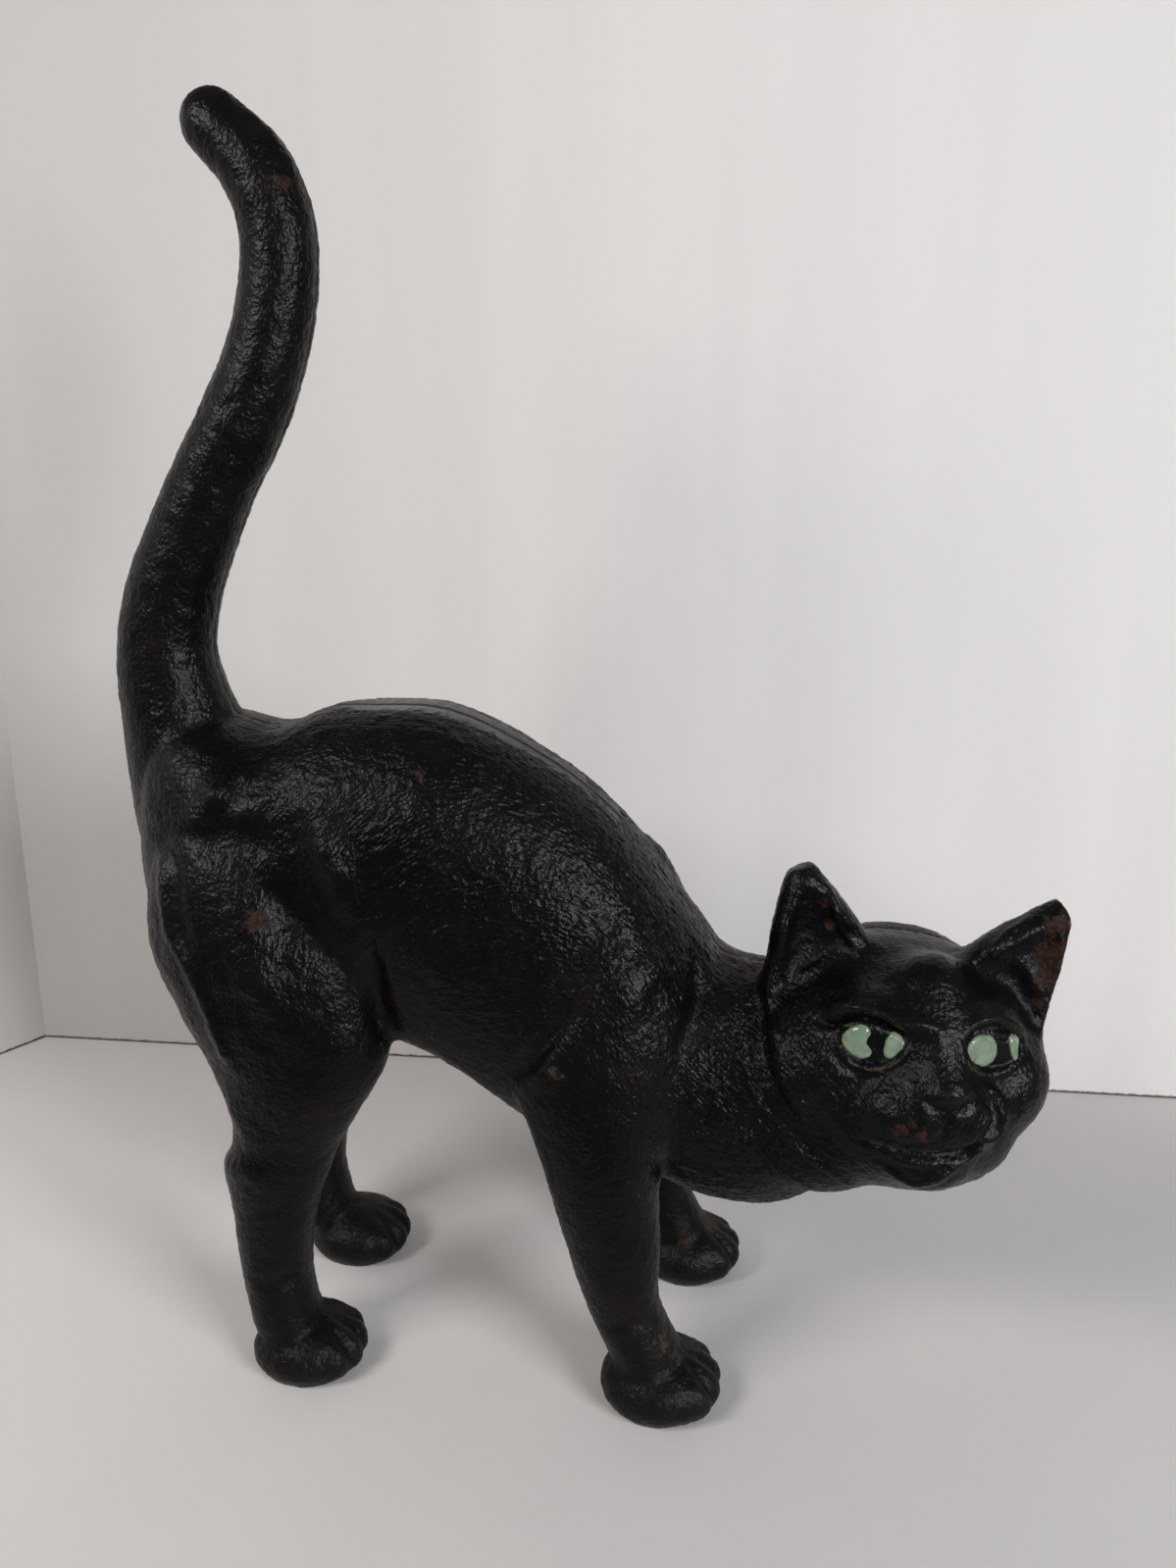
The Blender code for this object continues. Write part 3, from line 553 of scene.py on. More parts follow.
def ear(corners, grow=0.0, forward=0.0):
    inner, outer, tip, depth = corners
    inner, outer, tip = Vector(inner), Vector(outer), Vector(tip)
    foot = (inner + outer) / 2
    along = (outer - inner) / 2
    rise = tip - foot
    tipSize = catHead["earTip"]
    bm = bmesh.new()
    rings = []
    for t in (-0.45, -0.3, -0.15, 0.0, 0.12, 0.24, 0.36, 0.48, 0.6, 0.7, 0.8, 0.88, 0.95, 1.0):
        left = max(1 - t, 0.0)
        half = along * left**0.9 + along.normalized() * (tipSize + grow)
        thick = catHead["earDepth"] / 2 * left**0.8 + tipSize + grow
        centre = foot + rise * (t * (1 - tipSize / rise.length))
        ring = []
        for k in range(36):
            angle = 2 * math.pi * k / 36
            flat = centre + half * math.cos(angle)
            ring.append(Vector((flat.x, depth - forward + thick * math.sin(angle), flat.y)))
        rings.append(ring)
    skin(bm, rings)
    bm.transform(headPlace)
    return put("ear", bm)


def wholeFigure():
    bm = bmesh.new()
    trunkAndNeck(bm)
    tube(bm, [(x, 0.0, z, radius) for x, z, radius in catBody["tail"]])
    for corner in catBody["corners"]:
        leg(bm, corner)
    head = bmesh.new()
    for middle, halfSizes in catHead["forms"].values():
        ball(head, middle, halfSizes)
    for ridge in ("nose", "rightBrow", "leftBrow"):
        tube(head, catHead[ridge], sides=24)
    head.transform(headPlace)
    extras = [put("head", head)]
    for name in ("rightEar", "leftEar"):
        hollow = ear(catHead[name], -catHead["earRim"], catHead["earDepth"] / 2)
        shell = ear(catHead[name])
        modified(shell, "BOOLEAN", operation="DIFFERENCE", object=hollow, solver="EXACT")
        drop(hollow)
        extras.append(shell)
    for extra in extras:
        bm.from_mesh(extra.data)
        drop(extra)
    figure = put("figure", bm)
    modified(figure, "REMESH", mode="VOXEL", voxel_size=catBody["grain"])
    modified(figure, "SMOOTH", factor=0.5, iterations=catBody["rounds"])
    return figure


def alongStroke(points, step=0.5):
    points = np.array(smoothRows(points, 8) if len(points) > 2 else points, float)
    lengths = np.linalg.norm(np.diff(points, axis=0), axis=1)
    at = np.concatenate([[0], np.cumsum(lengths)])
    spots = np.linspace(0, at[-1], max(2, int(at[-1] / step) + 1))
    path = np.stack([np.interp(spots, at, points[:, k]) for k in range(3)], axis=1)
    return path, np.minimum(spots, at[-1] - spots)


# How near each place is to a stroke, 1 on it and fading to 0 about three widths off
def strokeWeight(places, points, width, onto=None):
    path, fromEnd = alongStroke(points)
    if onto:
        path = np.array([onto(spot) for spot in path])
    low, high = path.min(0) - 3.2 * width, path.max(0) + 3.2 * width
    near = np.flatnonzero(((places > low) & (places < high)).all(1))
    weight = np.zeros(len(places))
    if not len(near):
        return weight
    best = np.full(len(near), 1e9)
    which = np.zeros(len(near), int)
    for k, spot in enumerate(path):
        gap = ((places[near] - spot) ** 2).sum(1)
        closer = gap < best
        best[closer] = gap[closer]
        which[closer] = k
    fade = (0.4 + 0.6 * smoothStep(0, 2.5 * width, fromEnd))[which]
    weight[near] = np.exp(-best / width**2) * fade
    return weight


def meshArrays(thing):
    mesh = thing.data
    places = np.empty(len(mesh.vertices) * 3)
    mesh.vertices.foreach_get("co", places)
    normals = np.empty(len(mesh.vertices) * 3)
    mesh.vertices.foreach_get("normal", normals)
    return places.reshape(-1, 3), normals.reshape(-1, 3)


def setPlaces(thing, places):
    thing.data.vertices.foreach_set("co", places.ravel())
    thing.data.update()


def meshEdges(thing):
    edges = np.empty(len(thing.data.edges) * 2, int)
    thing.data.edges.foreach_get("vertices", edges)
    return edges.reshape(-1, 2)


def spread(values, edges, rounds):
    count = len(values)
    degree = np.maximum(np.bincount(edges.ravel(), minlength=count), 1)
    for _ in range(rounds):
        total = np.bincount(edges[:, 0], values[edges[:, 1]], count)
        total += np.bincount(edges[:, 1], values[edges[:, 0]], count)
        values = (values + total / degree) / 2
    return values


def smoothStep(low, high, values):
    t = np.clip((values - low) / (high - low), 0, 1)
    return t * t * (3 - 2 * t)


viewPlace = (
    Matrix.Translation(Vector(view["place"]) * mm)
    @ Matrix.Rotation(math.radians(view["turn"]), 4, "Z")
    @ Matrix.Rotation(math.radians(90 - view["down"]), 4, "X")
)


# The skin under points of the photograph, in metres. Just off the outline it is the skin nearest to the ray.
def seen(skin, points):
    places = []
    eye = viewPlace.translation
    middleX, middleY = view["wide"] / 2, view["high"] / 2
    for across, down in points:
        way = viewPlace.to_3x3() @ Vector((across - middleX, middleY - down, -view["focal"]))
        spot = skin.ray_cast(eye, way.normalized())[0]
        if spot is None:
            spot = skin.find_nearest(eye - way * (eye.y / way.y))[0]
        places.append(spot)
    return np.array(places)


headTurn = np.array(headPlace)[:3, :3]
headMiddle = np.array(headPlace)[:3, 3]


def inHead(places):
    return (places - headMiddle) @ headTurn / mm


# How far each point lies inside a closed outline, less than 0 outside it
def outlineDepth(points, outline):
    outline = np.array(outline, float)
    after = np.roll(outline, -1, axis=0)
    best = np.full(len(points), 1e9)
    inside = np.zeros(len(points), bool)
    for a, b in zip(outline, after):
        edge = b - a
        t = np.clip(((points - a) @ edge) / (edge @ edge), 0, 1)
        best = np.minimum(best, np.linalg.norm(points - a - t[:, None] * edge, axis=1))
        crosses = (a[1] > points[:, 1]) != (b[1] > points[:, 1])
        rise = np.where(abs(b[1] - a[1]) > 1e-9, b[1] - a[1], 1e-9)
        inside ^= crosses & (points[:, 0] < (b[0] - a[0]) * (points[:, 1] - a[1]) / rise + a[0])
    return np.where(inside, best, -best)


def roundOutline(outline, steps=4):
    rows = [outline[-1], *outline, outline[0], outline[1]]
    curve = smoothRows([(*row, 0.0) for row in rows], steps)
    return [tuple(point[:2]) for point in curve[steps:-2 * steps]]


figure = wholeFigure()
print("figure", len(figure.data.polygons), "faces")


def spreadPlaces(places, edges, share, rounds):
    count = len(places)
    degree = np.maximum(np.bincount(edges.ravel(), minlength=count), 1)
    both = np.concatenate([edges[:, 0], edges[:, 1]])
    other = np.concatenate([edges[:, 1], edges[:, 0]])
    half = 0.5 * share
    out = places.copy()
    for k in range(3):
        line = np.ascontiguousarray(places[:, k])
        for _ in range(rounds):
            line = line + half * (np.bincount(both, line[other], count) / degree - line)
        out[:, k] = line
    return out


def soften(figure):
    places, _ = meshArrays(figure)
    at = places / mm
    share = np.full(len(at), 0.04)
    for middle, reach, amount in softening["patches"]:
        gap = ((at - np.array(middle)) ** 2).sum(1) / reach**2
        share = np.maximum(share, amount * np.exp(-(gap**2)))
    own = inHead(places)
    earSide = smoothStep(16, 22, own[:, 2] + 0.25 * abs(own[:, 0]) - 4) * smoothStep(5, 11, abs(own[:, 0]))
    share *= 1 - earSide * (own[:, 1] > -16)
    setPlaces(figure, spreadPlaces(places, meshEdges(figure), share, softening["rounds"]))


# Work the strokes into the skin: muscles, creases and toes, then the face and the eye openings
def sculptStrokes(figure):
    places, normals = meshArrays(figure)
    edges = meshEdges(figure)
    normals = np.stack([spread(normals[:, k], edges, 12) for k in range(3)], axis=1)
    normals /= np.linalg.norm(normals, axis=1)[:, None]
    surface = BVHTree.FromObject(figure, bpy.context.evaluated_depsgraph_get())
    at = places / mm
    move = np.zeros(len(at))

    def onSkin(spot):
        return np.array(surface.find_nearest(Vector(spot) * mm)[0]) / mm

    for amount, width, points in flankStrokes:
        near = seen(surface, points) / mm
        for side in (1, -1):
            move += amount * strokeWeight(at, near * np.array([1, side, 1]), width, onto=onSkin)
    for amount, width, points in headStrokes:
        move += amount * strokeWeight(at, seen(surface, points) / mm, width, onto=onSkin)
    for rows, soleX, soleY, backBy, share in catBody["corners"].values():
        for amount, width, points in toeGrooves:
            placed = [(soleX / mm + x * share, soleY / mm + y * share, z * share) for x, y, z in points]
            move += amount * strokeWeight(at, placed, width, onto=onSkin)
    own = inHead(places)
    front = smoothStep(0.0, 0.4, -(normals @ headTurn)[:, 1])
    places = places + normals * (move * mm)[:, None]

    push = np.zeros(len(at))
    for name in ("rightOpening", "leftOpening"):
        outline = inHead(seen(surface, eyes[name]))[:, [0, 2]]
        depth = outlineDepth(own[:, [0, 2]], roundOutline(outline))
        push += eyes["sunk"] * smoothStep(-0.15, 0.45, depth) * (own[:, 1] < -12) * front
    places = places + headTurn[:, 1] * (push * mm)[:, None]
    setPlaces(figure, places)


# Which way the fur lies, on both flanks: a place in millimetres and the way that the strokes run there
furLie = [
    ((2, 26, 127), (0.85, 0, -0.5)),
    ((9, 25, 119), (0.62, 0, -0.78)),
    ((13, 24, 108), (0.35, 0, -0.93)),
    ((-19, 27, 126), (0.85, 0, 0.5)),
    ((-31, 25, 129), (0.72, 0, 0.7)),
    ((-52, 15, 147), (0.97, 0, 0.2)),
    ((-20, 14, 147), (0.98, 0, -0.2)),
    ((4, 12, 131), (0.78, 0, -0.6)),
    ((20, 10, 112), (0.7, 0, -0.7)),
    ((-7, 28, 112), (0.95, 0, 0.3)),
    ((-27, 28, 111), (0.7, 0, 0.7)),
    ((-10, 28, 95), (0.85, 0, 0.35)),
    ((-20, 27, 82), (0.92, 0, -0.1)),
    ((18, 25, 92), (0.45, 0, -0.9)),
    ((10, 28, 78), (0.2, 0, -0.98)),
    ((-50, 28, 128), (0.45, 0, 0.88)),
    ((-70, 26, 125), (0.2, 0, 0.97)),
    ((-55, 31, 100), (0.1, 0, 0.99)),
    ((-70, 30, 85), (0.35, 0, 0.93)),
    ((-60, 28, 50), (0.0, 0, 1.0)),
    ((10, 32, 45), (0.1, 0, -1.0)),
    ((35, 25, 69), (0.92, 0, -0.38)),
    ((39, 25, 80), (0.75, 0, -0.65)),
    ((45, 24, 90), (0.6, 0, -0.8)),
    ((48, 24, 60), (0.97, 0, -0.15)),
    ((30, 20, 50), (0.95, 0, 0.1)),
    ((60, 28, 65), (0.8, 0, -0.6)),
    ((50, 20, 78), (0.6, 0, -0.8)),
    ((-86, 8, 150), (0.1, 0, 1.0)),
    ((-80, 8, 186), (0.5, 0, 0.86)),
    ((-65, 8, 214), (0.46, 0, 0.88)),
    ((-58, 8, 240), (0.0, 0, 1.0)),
    ((75, 20, 95), (0.2, 0.6, 0.8)),
    ((75, 30, 72), (0.5, 0, -0.85)),
]
fur = {
    "reach": 13.0,  # how far one direction speaks, in millimetres
    "strokes": 21000,
    "step": 0.45,
    "steps": (8, 20),
    "deep": 0.24,
    "wide": 0.36,
    "seed": 11,
}
# How strong the fur strokes are: centre and reach in millimetres, strength; then where they are calm
furPatches = [
    ((-2, 0, 116), 34, 1.0),
    ((-40, 0, 132), 26, 0.8),
    ((-52, 0, 150), 12, 0.5),
    ((22, 0, 98), 15, 0.9),
    ((44, -10, 72), 19, 1.5),
    ((40, -5, 58), 16, 1.2),
    ((-62, 0, 100), 26, 0.45),
    ((-62, 0, 60), 22, 0.3),
    ((10, 0, 62), 28, 0.42),
    ((-84, 0, 165), 30, 0.35),
    ((-62, 0, 220), 40, 0.3),
    ((60, -20, 62), 12, 0.7),
]
calmPatches = [
    ((76, -30, 82), 19),
    ((23, -25, 6), 12),
    ((26, 23, 6), 12),
    ((-58, -22, 6), 12),
    ((-59, 21, 6), 12),
]


def furField(places, normals):
    at = places / mm
    lie = np.zeros_like(at)
    strength = np.zeros(len(at))
    for (x, y, z), way in furLie:
        for side in (1, -1):
            gap = at - np.array([x, y * side, z])
            weight = np.exp(-(gap**2).sum(1) / (2 * fur["reach"] ** 2)) + 1e-9 / (1 + (gap**2).sum(1))
            lie += weight[:, None] * np.array([way[0], way[1] * side, way[2]])
    for middle, reach, amount in furPatches:
        gap = (at - np.array(middle)) * np.array([1, 0.35, 1])
        strength = np.maximum(strength, amount * np.exp(-((gap**2).sum(1) / (2 * reach**2)) ** 2))
    for middle, reach in calmPatches:
        gap = at - np.array(middle)
        strength *= 1 - 0.85 * np.exp(-((gap**2).sum(1) / (2 * reach**2)) ** 2)
    lie -= normals * (lie * normals).sum(1)[:, None]
    lie /= np.maximum(np.linalg.norm(lie, axis=1), 1e-9)[:, None]
    return lie, strength


# Short grooves cut along the lie of the fur, traced over the skin from seeded starts
def cutFur(figure):
    places, normals = meshArrays(figure)
    lie, strength = furField(places, normals)
    pick = np.random.default_rng(fur["seed"])
    skin = KDTree(len(places))
    for k, place in enumerate(places):
        skin.insert(place, k)
    skin.balance()
    chance = strength + 0.02
    starts = pick.choice(len(places), fur["strokes"], p=chance / chance.sum())
    spots, fades = [], []
    for start in starts:
        here = Vector(places[start])
        steps = int(pick.integers(*fur["steps"]))
        heft = pick.uniform(0.5, 1.15)
        stray = pick.normal(0, 0.12)
        at = int(start)
        for k in range(steps):
            way = Vector(lie[at])
            way = way + Vector(normals[at]).cross(way) * stray
            here = here + way * fur["step"] * mm
            here, at, _ = skin.find(here)
            spots.append(here)
            fades.append(heft * math.sin(math.pi * (k + 0.5) / steps) ** 0.6)
            here = here.copy()
    marks = KDTree(len(spots))
    for k, spot in enumerate(spots):
        marks.insert(spot, k)
    marks.balance()
    move = np.zeros(len(places))
    wide = fur["wide"] * mm
    for k in np.flatnonzero(strength > 0.04):
        _, which, gap = marks.find(places[k])
        if gap < 3 * wide:
            move[k] = -fades[which] * math.exp(-((gap / wide) ** 2))
    move *= np.minimum(strength, 1.5) * fur["deep"] * mm
    setPlaces(figure, places + normals * move[:, None])
    print("fur", len(spots), "marks")


# Height and size of each kind of unevenness, in millimetres
unevenness = {"wide": (0.26, 11.0), "small": (0.16, 3.0), "sand": (0.15, 1.0), "seamDip": (0.25, 0.5)}
# The fin on the seam is filed flat along the back, and on the crown the far half stands a little proud
seamWork = {
    "below": 158,  # the tail stands over this height
    "filedFrom": -47,
    "filedTo": 13,
    "filedDeep": 0.55,
    "fade": 5.0,
    "filedWide": 9.0,
    "crown": (71, 5, 104),
    "crownReach": 13,
    "crownProud": 1.2,
}


# The slow waviness of a hand-rammed mould and the grain of its sand
def unsettle(figure):
    places, normals = meshArrays(figure)
    move = np.zeros(len(places))
    for amount, size in (unevenness["wide"], unevenness["small"]):
        move += [amount * noise.noise(Vector(place) / (size * mm)) for place in places]
    own = inHead(places)
    calm = 1 - 0.7 * np.exp(-(((own - np.array([1, -22, -4])) ** 2).sum(1) / (2 * 13**2)) ** 2)
    height, size = unevenness["sand"]
    sand = np.array([height * noise.noise(Vector(place) / (size * mm)) for place in places])
    setPlaces(figure, places + normals * ((move * calm + sand) * mm)[:, None])


# Height of the back over each x, read off the skin beside the seam
def backLine(at):
    near = at[(abs(at[:, 1]) < 1.0) & (at[:, 2] > 90) & (at[:, 2] < seamWork["below"])]
    spots = np.arange(seamWork["filedFrom"] - 12, seamWork["filedTo"] + 12, 1.0)
    heights = np.array([near[abs(near[:, 0] - x) < 0.8, 2].max() for x in spots])
    return spots, np.convolve(np.pad(heights, 4, mode="edge"), np.ones(9) / 9, "valid")


def filedShare(x):
    fade = seamWork["fade"]
    begun = smoothStep(-fade, fade, x - seamWork["filedFrom"])
    return begun * smoothStep(-fade, fade, seamWork["filedTo"] - x)


def fileSeam(figure):
    places, normals = meshArrays(figure)
    at = places / mm
    spots, heights = backLine(at)
    top = np.interp(at[:, 0], spots, heights)
    upright = 1 / np.sqrt(1 + np.interp(at[:, 0], spots, np.gradient(heights, spots)) ** 2)
    over = seamWork["filedDeep"] * filedShare(at[:, 0]) - (top - at[:, 2]) * upright
    onBack = (abs(at[:, 1]) < 14) * (at[:, 2] > 90) * (at[:, 2] < seamWork["below"])
    over = np.maximum(over, 0) * onBack * (filedShare(at[:, 0]) > 0)
    at[:, 2] -= over / upright
    dip, width = unevenness["seamDip"]
    move = -dip * np.exp(-((at[:, 1] / width) ** 2))
    setPlaces(figure, (at + normals * move[:, None]) * mm)


def standProud(half):
    places, _ = meshArrays(half)
    gap = (places / mm - np.array(seamWork["crown"])) / seamWork["crownReach"]
    rise = seamWork["crownProud"] * smoothStep(-0.5, 5.0, places[:, 1] / mm)
    places[:, 2] += rise * mm * np.exp(-((gap**2).sum(1) ** 2))
    setPlaces(half, places)


soften(figure)
sculptStrokes(figure)
cutFur(figure)
unsettle(figure)
fileSeam(figure)
print("sculpted")

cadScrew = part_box("assembly_screw")
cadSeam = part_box("left_half")[0].y - casting["seamGap"] / 2
places, _ = meshArrays(figure)
spotOnSeam = (cadBox[0][0] + cadBox[1][0]) / 2 - (places[:, 0].min() + places[:, 0].max()) / 2
toCad = Vector((spotOnSeam, cadSeam, 0.0))
print("to the solids' place", [round(v / mm, 2) for v in toCad])
screwX, screwZ = (cadScrew[0].x + cadScrew[1].x) / 2 - toCad.x, (cadScrew[0].z + cadScrew[1].z) / 2
headY = cadScrew[1].y - toCad.y

skinned(figure, enamelled)
combine(figure, "DIFFERENCE", block((-1, -1, -0.1), (1, 1, 0)))
modified(figure, "DECIMATE", ratio=min(1.0, casting["facesInAll"] / len(figure.data.polygons)))
places, _ = meshArrays(figure)
figureBox = places.min(0), places.max(0)
finishedSkin = BVHTree.FromObject(figure, bpy.context.evaluated_depsgraph_get())
print("skin for both halves", len(figure.data.polygons), "faces")


def handCore():
    bm = bmesh.new()
    trunkAndNeck(bm)
    for name in ("skull", "rightCheek", "leftCheek"):
        ball(bm, *catHead["forms"][name], headPlace)
    core = put("core", bm)
    modified(core, "REMESH", mode="VOXEL", voxel_size=casting["coreGrain"])
    modified(core, "SMOOTH", factor=0.5, iterations=3)
    modified(core, "DISPLACE", strength=-casting["wall"], mid_level=0.0, direction="NORMAL")
    modified(core, "REMESH", mode="VOXEL", voxel_size=casting["coreGrain"] / 2)
    modified(core, "DECIMATE", ratio=0.5)
    for x, z, diameter in ((screwX, screwZ, casting["boss"]), (*casting["neckPin"], casting["neckPost"])):
        post = cylinder(x, z, diameter, -0.2, 0.2)
        modified(core, "BOOLEAN", operation="DIFFERENCE", object=post, solver="EXACT")
        drop(post)
    core.data.materials.clear()
    return skinned(core, raw)


core = handCore()


def halfCasting(name, side):
    half = bpy.data.objects.new(name, figure.data.copy())
    bpy.context.scene.collection.objects.link(half)
    near, far = sorted((side * casting["seamOpen"] / 2, side * casting["room"]))
    low, high = figureBox
    beyond = casting["beyond"]
    corners = (low[0] - beyond, near, low[2] - beyond), (high[0] + beyond, far, high[2] + beyond)
    combine(half, "INTERSECT", block(*corners, cuts=casting["seamCuts"]))
    modified(half, "BOOLEAN", operation="DIFFERENCE", object=core, solver="MANIFOLD")
    return half


rightHalf = halfCasting("rightHalf", -1)
leftHalf = halfCasting("leftHalf", 1)
standProud(leftHalf)
drop(figure)
drop(core)

play = casting["play"]
bore = casting["thread"] + 2 * play
wideHead = casting["headWide"] + 2 * play
neckY = headY - casting["headHigh"]
combine(rightHalf, "DIFFERENCE", cylinder(screwX, screwZ, bore, -casting["grip"] - play, 0.001))
combine(leftHalf, "DIFFERENCE", cylinder(screwX, screwZ, bore, -0.001, neckY))
combine(leftHalf, "DIFFERENCE", cylinder(screwX, screwZ, bore, neckY - play, headY, wideHead))
combine(leftHalf, "DIFFERENCE", cylinder(screwX, screwZ, wideHead, headY - play, 0.1))
pinWide, pinLong = casting["pin"]
for x, z in (casting["tailPin"], casting["neckPin"]):
    combine(rightHalf, "UNION", cylinder(x, z, pinWide, -pinLong, pinLong))
    combine(leftHalf, "DIFFERENCE", cylinder(x, z, pinWide + 2 * play, -0.001, pinLong + play))
for half in (rightHalf, leftHalf):
    print(half.name, sum(len(face.vertices) - 2 for face in half.data.polygons), "triangles")


# A closed drop of enamel lying on the skin of the head, domed, its edge let into the iron
def enamelDrop(name, points, skin):
    outline = roundOutline(inHead(seen(skin, points))[:, [0, 2]], 5)
    fine = eyes["fine"]
    low, high = np.min(outline, axis=0), np.max(outline, axis=0)
    columns, levels = (np.arange(low[k] - fine, high[k] + 2 * fine, fine) for k in (0, 1))
    across, up = np.meshgrid(columns, levels, indexing="ij")
    flat = np.stack([across.ravel(), up.ravel()], axis=1)
    depth = outlineDepth(flat, outline)
    forward = Vector(-headTurn[:, 1])
    bm = bmesh.new()
    tops, backs = {}, {}
    for k in np.flatnonzero(depth > -0.6 * fine):
        start = Vector(headMiddle + headTurn @ (np.array([flat[k, 0], -60.0, flat[k, 1]]) * mm))
        hit = skin.ray_cast(start, -forward)[0]
        share = min(max(depth[k] / (eyes["shoulder"] * depth.max()), 0.0), 1.0)
        rise = eyes["enamel"] * math.sqrt(1 - (1 - share) ** 2)
        tops[k] = bm.verts.new(hit + forward * (rise * mm))
        backs[k] = bm.verts.new(hit - forward * (eyes["edgeDeep"] * mm))
    row = len(levels)
    for k in tops:
        square = (k, k + row, k + row + 1, k + 1)
        if all(corner in tops for corner in square):
            bm.faces.new([tops[corner] for corner in square])
            bm.faces.new([backs[corner] for corner in reversed(square)])
    topOf = {vert: k for k, vert in tops.items()}
    rims = [edge for edge in bm.edges if edge.is_boundary]
    for edge in rims:
        if edge.verts[0] not in topOf:
            continue
        a, b = (topOf[vert] for vert in edge.verts)
        bm.faces.new((tops[a], tops[b], backs[b], backs[a]))
    loose = [vert for vert in bm.verts if not vert.link_faces]
    bmesh.ops.delete(bm, geom=loose, context="VERTS")
    axes = {"use_axis_x": True, "use_axis_y": True, "use_axis_z": True}
    bmesh.ops.smooth_vert(bm, verts=bm.verts[:], factor=0.5, **axes)
    return modified(put(name, bm), "SUBSURF", levels=1, render_levels=1)


enamelDrops = [enamelDrop(name, points, finishedSkin) for name, points in eyes["drops"].items()]
print("enamel", [len(piece.data.polygons) for piece in enamelDrops])


screwCut = {
    "pitch": 1.0,  # thread, in millimetres
    "threadDeep": 0.55,
    "sides": 48,
    "dome": 0.07,
}


# Countersunk screw with a cut thread, a little domed on its head, the slot upright
def slottedScrew():
    bm = bmesh.new()
    sides = screwCut["sides"]
    pitch = screwCut["pitch"] * mm
    outer = casting["thread"] / 2
    head = casting["headWide"] / 2
    profile = []
    threadEnd = -casting["seamGap"] - 0.4 * mm
    y = -casting["grip"]
    profile.append((y, outer - 0.7 * mm, 0.0))
    while y < threadEnd:
        fade = min(1.0, (y + casting["grip"]) / pitch, (threadEnd - y) / pitch)
        profile.append((y + 0.3 * mm, outer, max(fade, 0.0)))
        y += pitch / 8
    profile += [(threadEnd + 0.8 * mm, outer, 0.0), (neckY - 0.4 * mm, outer, 0.0), (neckY, outer, 0.0)]
    for t in (0.25, 0.5, 0.75):
        profile.append((neckY + t * (casting["headHigh"] - 0.4 * mm), outer + (head - outer) * t, 0.0))
    for below, less in ((0.4, 0.05), (0.25, 0.0), (0.1, 0.05)):
        profile.append((headY - below * mm, head - less * mm, 0.0))
    for share in (0.96, 0.85, 0.65, 0.4, 0.15):
        rise = screwCut["dome"] * (1 - share**2) - 0.04
        profile.append((headY + rise * mm, head * share, 0.0))
    rings = []
    for y, radius, cut in profile:
        ring = []
        for k in range(sides):
            angle = 2 * math.pi * k / sides
            phase = (y / pitch - k / sides) % 1.0
            r = radius - cut * screwCut["threadDeep"] * mm * min(1.0, 2.4 * abs(phase - 0.5))
            ring.append((screwX + r * math.cos(angle), y, screwZ + r * math.sin(angle)))
        rings.append(ring)
    skin(bm, rings)
    screw = put("assemblyScrew", bm)
    half = casting["slotWide"] / 2
    low = screwX - half, headY - casting["slotDeep"], screwZ - 0.01
    slot = block(low, (screwX + half, headY + 0.002, screwZ + 0.01))
    modified(slot, "BEVEL", width=0.15 * mm, segments=2)
    modified(screw, "BOOLEAN", operation="DIFFERENCE", object=slot, solver="EXACT")
    drop(slot)
    return screw


assemblyScrew = slottedScrew()


# Rust, as points of the photograph with their reach in millimetres and how much
rustSpots = [
    # haunch, rump and tail
    ((262, 938), 4.2, 1.0),
    ((274, 835), 2.0, 0.6),
    ((304, 849), 2.0, 0.6),
    ((182, 869), 2.6, 0.5),
    ((207, 1022), 2.4, 0.5),
    ((290, 185), 3.4, 0.9),
    ((225, 499), 3.2, 0.55),
    # flank
    ((427, 790), 2.2, 0.9),
    ((500, 1000), 6.0, 0.4),
    ((480, 1010), 5.0, 0.4),
    ((450, 960), 5.0, 0.4),
    ((600, 940), 5.0, 0.4),
    # nape, lips, brow and ears
    ((745, 978), 3.0, 0.7),
    ((770, 988), 3.4, 0.9),
    ((733, 982), 2.6, 0.6),
    ((918, 1152), 2.6, 0.95),
    ((930, 1146), 2.2, 0.85),
    ((940, 1160), 2.2, 0.95),
    ((892, 1034), 1.0, 0.9),
    ((1072, 972), 6.0, 1.05),
    ((1078, 945), 5.0, 1.0),
    ((1066, 998), 4.4, 1.0),
    ((1056, 1024), 2.4, 0.8),
    ((841, 922), 2.2, 0.95),
    ((848, 943), 2.2, 1.0),
    ((857, 962), 1.8, 0.9),
    # legs and paws
    ((280, 1390), 4.0, 0.7),
    ((350, 1400), 3.6, 0.6),
    ((730, 1250), 5.0, 0.7),
    ((700, 1268), 5.0, 0.7),
    ((340, 1165), 4.0, 0.35),
    ((665, 1395), 5.0, 0.4),
]
# Grey-brown dust in the lines: amount, width in millimetres, points of the photograph
dustLines = [
    (0.75, 0.5, [(882, 1163), (900, 1167), (918, 1173), (940, 1174), (962, 1174)]),
    (0.5, 0.5, [(905, 1174), (925, 1181), (950, 1185), (975, 1181)]),
    (0.62, 0.5, [(855, 1064), (861, 1077), (873, 1087), (889, 1091), (905, 1088), (919, 1079)]),
    (0.62, 0.5, [(985, 1076), (990, 1088), (1002, 1096), (1012, 1096)]),
    (0.62, 0.6, [(1002, 1050), (1014, 1048), (1028, 1050)]),
    (0.3, 1.2, [(966, 1136), (965, 1149), (961, 1164)]),
    (0.35, 2.0, [(942, 1102), (936, 1112), (938, 1124), (946, 1135)]),
    (0.3, 2.2, [(1000, 1105), (1012, 1112), (1030, 1104)]),
]
